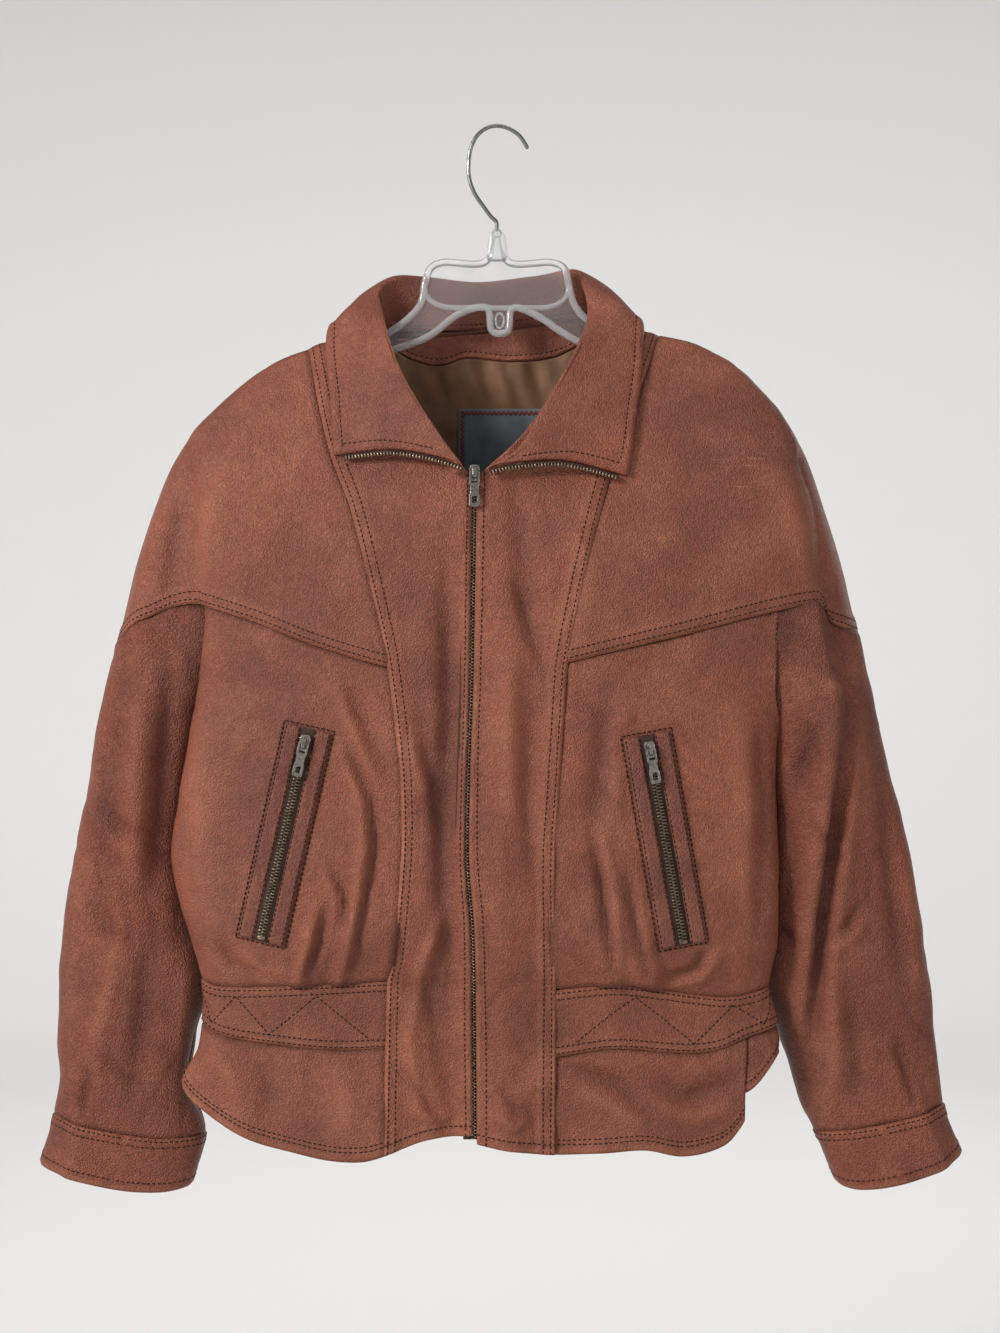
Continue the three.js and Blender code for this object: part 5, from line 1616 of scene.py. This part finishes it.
class JACKET_OT_pockets(bpy.types.Operator):
    """Builds the slanted pockets: welts, tape, teeth and end stop"""

    bl_idname = "jacket.pockets"
    bl_label = "Pockets"

    def execute(self, context):
        pitch = in_mm(sizes().teeth)
        for s in SIDES:
            place = pocket_places(s)
            head, foot = np.array(s.pocket, float)
            length = float(np.linalg.norm(foot - head))
            edge = TAPE_WIDTH / 2 + SEAM_GAP

            def strip(low, high, lift, s=s, place=place, length=length):
                return lambda u, v: place(lerp(length, 0, v), lerp(low, high, u), lift)

            def plump(skin):
                return 1.2 * (1 - np.abs(2 * skin.u - 1) ** 4)

            inner, outer = edge - WELT_REACH, edge + WELT_WIDTH
            for tag, low, high in (("a", inner, outer), ("b", -outer, -inner)):
                node = f"pocket_welt_{tag}_{s.name}"
                hide_panel(node, strip(low, high, 0.9 + WELT_WALL), MATERIALS["welt"], WELT_WALL, forward,
                           ALL_WELT, (), 81, size=1.6, gaps=(0, 0.2), waves=0.25,
                           extra=plump)
                for side in ("u0", "u1"):
                    sew("front", *SKINS[node].row(side, 1.5), 0.15)
            tape = strip(-TAPE_WIDTH / 2, TAPE_WIDTH / 2, 2.0)
            hide_panel("pocket_zip_" + s.name, tape, MATERIALS["tape"], 1.1, forward, {}, (), 82, size=3,
                       gaps=(0, 0.2), waves=0)
            run = np.arange(22, length - 4, pitch / 2)
            path = np.stack(place(run, 0 * run, 2.5), -1)
            lifted = np.stack(place(run, 0 * run, 3.5), -1)
            along, up, across = frames_on(path, lifted - path)
            shift = np.where(np.arange(len(run)) % 2, 1.4, -1.4)[:, None]
            set_teeth("pocket_zip_teeth_" + s.name, (pitch * 0.40, 2.4, 3.6),
                      path + across * shift + up * 0.4, (along, up, across))
            stop = np.stack(place(np.array([length - 3.0]), np.array([0.0]), 2.8), -1)
            set_teeth("pocket_zip_stop_" + s.name, (3.2, 2.2, 6.4), stop,
                      (along[-1:], up[-1:], across[-1:]))
            reach = edge + WELT_WIDTH + 1.6
            corners = [(-2, -reach), (-2, reach), (length + 2, reach), (length + 2, -reach),
                       (-2, -reach)]
            for (a, b), (c, d) in zip(corners[:-1], corners[1:]):
                t = np.linspace(0, 1, 60)
                line = np.stack(place(lerp(a, c, t), lerp(b, d, t), 0.35), -1)
                above = np.stack(place(lerp(a, c, t), lerp(b, d, t), 1.35), -1)
                sew("front", line, above - line)
        return {"FINISHED"}


def pocket_places(s):
    """A function from along, across and lift to a place over the lower front."""
    head, foot = np.array(s.pocket, float)
    down = (foot - head) / np.linalg.norm(foot - head)

    def surface(x, z):
        return np.stack(lower_at(s, torso_angle(x, z), z), -1)

    def place(along, side, lift):
        x = head[0] + down[0] * along - down[1] * side
        z = head[1] + down[1] * along + down[0] * side
        n = np.cross(surface(x + 1, z) - surface(x - 1, z), surface(x, z + 1) - surface(x, z - 1))
        n /= np.linalg.norm(n, axis=-1, keepdims=True)
        n = np.where(n[..., 1:2] > 0, -n, n)
        p = surface(x, z) + n * lift
        return p[..., 0], p[..., 1], p[..., 2]

    return place


def note_rows():
    """Rows of stitches along seams and edges."""
    for s in SIDES:
        centre = SKINS["centre_front_" + s.name]
        for offset in EDGE_FORMS["lap"].rows:
            sew("front", *centre.row("u1", offset))
            sew("front", *SKINS["front_yoke_" + s.name].row("v0", offset))
        for offset in EDGE_FORMS["band"].rows:
            for edge in ("v0", "v1"):
                sew("front", *SKINS["front_waistband_" + s.name].row(edge, offset))
        sew("front", *centre.row("u0", 5.5 if s is RIGHT else 8.0))
        sew("front", *centre.row("v0", 8.0))
        sew("front", *SKINS["front_peplum_" + s.name].row("v0", 8.0))
        sew("front", *SKINS["front_peplum_" + s.name].row("v0", 11.5))
        cuff = SKINS["cuff_" + s.name]
        for edge, offset in (("v0", 8.0), ("v1", 2.6), ("v1", 7.6)):
            sew("sleeves", *cuff.row(edge, offset))
        band = SKINS["front_waistband_" + s.name]
        peaks = np.arange(0.06, 0.95, 0.16)
        u = np.interp(np.linspace(0, len(peaks) - 1, 240), np.arange(len(peaks)), peaks)
        v = np.interp(u, peaks, np.where(np.arange(len(peaks)) % 2, 0.83, 0.17))
        sew("front", *band.sample(u, v))
    for offset in (3.0, 8.5):
        sew("sleeves", *SKINS["sleeve_front_left"].row("u0", offset, 0.84, 0.995))
    for offset in EDGE_FORMS["lap"].rows:
        sew("back", *SKINS["back_yoke"].row("v0", offset))
    for offset in EDGE_FORMS["band"].rows:
        for edge in ("v0", "v1"):
            sew("back", *SKINS["back_waistband"].row(edge, offset))
    sew("back", *SKINS["back_peplum"].row("v0", 8.0))
    collar = SKINS["collar"]
    sew("collar", *collar.row("v1", 8.2, 0.012, 0.988))
    for edge in ("u0", "u1"):
        sew("collar", *collar.row(edge, 8.2, 0.5, 0.95))
    sew("collar", *collar.row("v0", 4.0, 0.2, 0.8))
    sew("collar", *SKINS["neck_facing"].row("v0", 5.0))


class JACKET_OT_stitching(bpy.types.Operator):
    """Sews every row: short threads on the panels, and the label's red border"""

    bl_idname = "jacket.stitching"
    bl_label = "Stitching"

    def execute(self, context):
        note_rows()
        shape = capsule(in_mm(sizes().stitch), in_mm(sizes().thread), 0.7)
        for group, rows in STITCHES.items():
            centres, directions = [], [[], [], []]
            for path, normals in rows:
                if len(path) < 3:
                    raise RuntimeError("a stitch row is too short: " + group)
                places, facing = spaced(path, normals, in_mm(sizes().pitch))
                for store, values in zip(directions, frames_on(places, facing)):
                    store.append(values)
                centres.append(places)
            axes = [np.concatenate(d) for d in directions]
            points, faces = repeated(*shape, np.concatenate(centres), axes)
            settle(new_mesh("stitches_" + group, points, faces, MATERIALS["thread"]))
        path, normals = zigzag_border(SKINS["neck_label"], 3.8, 1.9)
        middle = (path + np.roll(path, -1, axis=0)) / 2
        along = np.roll(path, -1, axis=0) - path
        along /= np.maximum(np.linalg.norm(along, axis=1, keepdims=True), 1e-9)
        across = np.cross(along, normals)
        points, faces = repeated(*capsule(4.6, 1.6, 0.8), middle + normals * 0.2, (along, normals, across))
        settle(new_mesh("label_border", points, faces, MATERIALS["red"]))
        return {"FINISHED"}


def inset_outline(points, distance):
    """A closed outline moved inwards."""
    p = np.array(points, float)
    along = np.roll(p, -1, axis=0) - np.roll(p, 1, axis=0)
    along /= np.linalg.norm(along, axis=1, keepdims=True)
    return p + np.stack([along[:, 1], -along[:, 0]], -1) * distance


# Thickness of the clear web in metres
WEB_THICK = 0.0012
# Radius and height of the clear socket that holds the wire
SOCKET = [(2.2, -83), (3.6, -84), (3.9, -94), (5.2, -100), (8.2, -106), (7.6, -109), (2.2, -109.5)]


def lathed(profile, sides):
    """Points and faces of a turned shape about the hook's stem."""
    points, faces = [], []
    for radius, z in profile:
        for k in range(sides):
            a = 2 * math.pi * k / sides
            points.append((math.cos(a) * radius - 0.5, math.sin(a) * radius * 0.62, z))
    for r in range(len(profile) - 1):
        for k in range(sides):
            a, b, m = r * sides, (r + 1) * sides, (k + 1) % sides
            faces.append((a + k, b + k, b + m, a + m))
    faces.append(tuple(range(sides)))
    faces.append(tuple(range(len(points) - 1, len(points) - sides - 1, -1)))
    return np.array(points), faces


class JACKET_OT_hanger(bpy.types.Operator):
    """Builds the clear hanger with its thick rim and thin web, and the wire hook"""

    bl_idname = "jacket.hanger"
    bl_label = "Hanger"

    def execute(self, context):
        clear, rod = MATERIALS["clear"], MATERIALS["clear_rod"]
        loop = inset_outline(HANGER, HANGER_RIM)
        closed = np.concatenate([loop, loop[:1]])
        smoothed = along_path(closed, 420)[:-1]
        path = np.stack([smoothed[:, 0], 0 * smoothed[:, 0], smoothed[:, 1]], -1)
        rim = new_mesh("hanger_rim", *tube(path, HANGER_RIM, closed=True), rod)
        settle(rim, ("hanger",))
        bar = along_path(HANGER_BAR, 60)
        bar = np.stack([bar[:, 0], 0 * bar[:, 0] - 0.2, bar[:, 1]], -1)
        settle(new_mesh("hanger_bar", *tube(bar, 2.3), rod))
        turn = np.arange(28) * 2 * math.pi / 28
        slot_rim = np.stack([2 + 3.4 * np.cos(turn), 0 * turn - 0.6, -158 + 6 * np.sin(turn)], -1)
        settle(new_mesh("hanger_slot_rim", *tube(slot_rim, 1.0, closed=True), rod))
        web = bmesh.new()
        outline = inset_outline(HANGER, HANGER_RIM * 1.6)
        corners = [web.verts.new((x * MM, -WEB_THICK / 2, z * MM)) for x, z in outline]
        face = web.faces.new(corners)
        thick = bmesh.ops.extrude_face_region(web, geom=[face])
        moved = [v for v in thick["geom"] if isinstance(v, bmesh.types.BMVert)]
        bmesh.ops.translate(web, verts=moved, vec=Vector((0, WEB_THICK, 0)))
        bmesh.ops.triangulate(web, faces=web.faces[:])
        bmesh.ops.recalc_face_normals(web, faces=web.faces[:])
        mesh = bpy.data.meshes.new("hanger_web")
        web.to_mesh(mesh)
        web.free()
        mesh.materials.append(clear)
        sheet = bpy.data.objects.new("hanger_web", mesh)
        context.scene.collection.objects.link(sheet)
        settle(sheet)
        settle(new_mesh("hook_socket", *lathed(SOCKET, 24), rod))
        hook = along_path(HOOK, 150)
        hook = np.stack([hook[:, 0], 0 * hook[:, 0], hook[:, 1]], -1)
        settle(new_mesh("hook_rod", *tube(hook, 1.65, sides=16), MATERIALS["wire"]), ("hook",))
        return {"FINISHED"}


FLOOR_LEVEL = -1.35
FLOOR_FLAT = 3.2
FLOOR_REACH = 5.6
# Name, place, aim, size and power of each lamp
AIM = (0, 0, -0.45)
LIGHTS = [
    ("key", (-2.4, -1.8, 0.8), AIM, 0.9, 100),
    ("fill", (2.4, -2.4, -0.2), AIM, 2.4, 17),
    ("top", (0.1, -0.5, 2.3), AIM, 1.6, 18),
    ("rear", (1.6, 2.4, 0.8), AIM, 1.6, 10),
    ("wash_behind", (0, 1.2, 1.9), (0, 4.6, 0.4), 2.4, 74),
    ("wash_before", (0, -1.2, 2.6), (0, -4.6, 0.4), 2.4, 26),
]


class JACKET_OT_stage(bpy.types.Operator):
    """Makes the pale floor, the soft light and the camera"""

    bl_idname = "jacket.stage"
    bl_label = "Stage"

    def execute(self, context):
        scene = context.scene
        rings, spokes = 26, 72
        points, faces = [(0, 0, FLOOR_LEVEL)], []
        for r in range(1, rings + 1):
            radius = FLOOR_REACH * r / rings
            rise = max(0, (radius - FLOOR_FLAT) / (FLOOR_REACH - FLOOR_FLAT))
            z = FLOOR_LEVEL + 3.6 * rise**2.2
            for k in range(spokes):
                a = 2 * math.pi * k / spokes
                points.append((math.cos(a) * radius, math.sin(a) * radius, z))
        for k in range(spokes):
            faces.append((0, 1 + k, 1 + (k + 1) % spokes))
        for r in range(rings - 1):
            for k in range(spokes):
                a, b = 1 + r * spokes, 1 + (r + 1) * spokes
                faces.append((a + k, b + k, b + (k + 1) % spokes, a + (k + 1) % spokes))
        material, _, shader = new_material("pale_floor", Roughness=0.9)
        shader.inputs["Base Color"].default_value = (0.80, 0.79, 0.77, 1)
        new_mesh("floor", np.array(points) / MM, faces, material)
        for name, place, aim, size, power in LIGHTS:
            light = bpy.data.lights.new(name, "AREA")
            light.size = size
            light.energy = power
            lamp = bpy.data.objects.new(name, light)
            lamp.location = place
            lamp.rotation_euler = (Vector(aim) - Vector(place)).to_track_quat("-Z", "Y").to_euler()
            lamp.visible_camera = False
            lamp.visible_transmission = False
            scene.collection.objects.link(lamp)
        world = bpy.data.worlds.new("pale_world")
        world.use_nodes = True
        world.node_tree.nodes["Background"].inputs["Color"].default_value = (0.93, 0.95, 1.0, 1)
        world.node_tree.nodes["Background"].inputs["Strength"].default_value = 0.21
        scene.world = world
        lens = bpy.data.cameras.new("camera")
        lens.lens = lens.sensor_width * CAMERA_DISTANCE / (IMAGE_TALL * MM_PER_PIXEL)
        lens.clip_end = 50
        camera = bpy.data.objects.new("camera", lens)
        camera.location = [v * MM for v in CAMERA_PLACE]
        camera.rotation_euler = (math.radians(90), 0, 0)
        scene.collection.objects.link(camera)
        scene.camera = camera
        scene.view_settings.view_transform = "Standard"
        return {"FINISHED"}


class JACKET_PT_panel(bpy.types.Panel):
    """Lists the jacket's settings and its pieces"""

    bl_label = "Jacket"
    bl_idname = "JACKET_PT_panel"
    bl_space_type = "VIEW_3D"
    bl_region_type = "UI"
    bl_category = "Jacket"

    def draw(self, context):
        for group in (context.scene.jacket_sizes, context.scene.jacket_colours):
            for name in group.__annotations__:
                self.layout.prop(group, name)
        for operator in OPERATORS:
            self.layout.operator(operator.bl_idname)


OPERATORS = (JACKET_OT_fronts, JACKET_OT_sleeves, JACKET_OT_back, JACKET_OT_collar, JACKET_OT_zips,
             JACKET_OT_pockets, JACKET_OT_stitching, JACKET_OT_hanger, JACKET_OT_stage)
CLASSES = (JacketSizes, JacketColours, *OPERATORS, JACKET_PT_panel)


def register():
    for item in CLASSES:
        bpy.utils.register_class(item)
    bpy.types.Scene.jacket_sizes = PointerProperty(type=JacketSizes)
    bpy.types.Scene.jacket_colours = PointerProperty(type=JacketColours)


def unregister():
    del bpy.types.Scene.jacket_colours
    del bpy.types.Scene.jacket_sizes
    for item in reversed(CLASSES):
        bpy.utils.unregister_class(item)


def main():
    register()
    make_materials(bpy.context.scene.jacket_colours)
    bpy.ops.jacket.fronts()
    bpy.ops.jacket.sleeves()
    bpy.ops.jacket.back()
    bpy.ops.jacket.collar()
    bpy.ops.jacket.zips()
    bpy.ops.jacket.pockets()
    bpy.ops.jacket.stitching()
    bpy.ops.jacket.hanger()
    bpy.ops.jacket.stage()


if __name__ == "__main__":
    main()
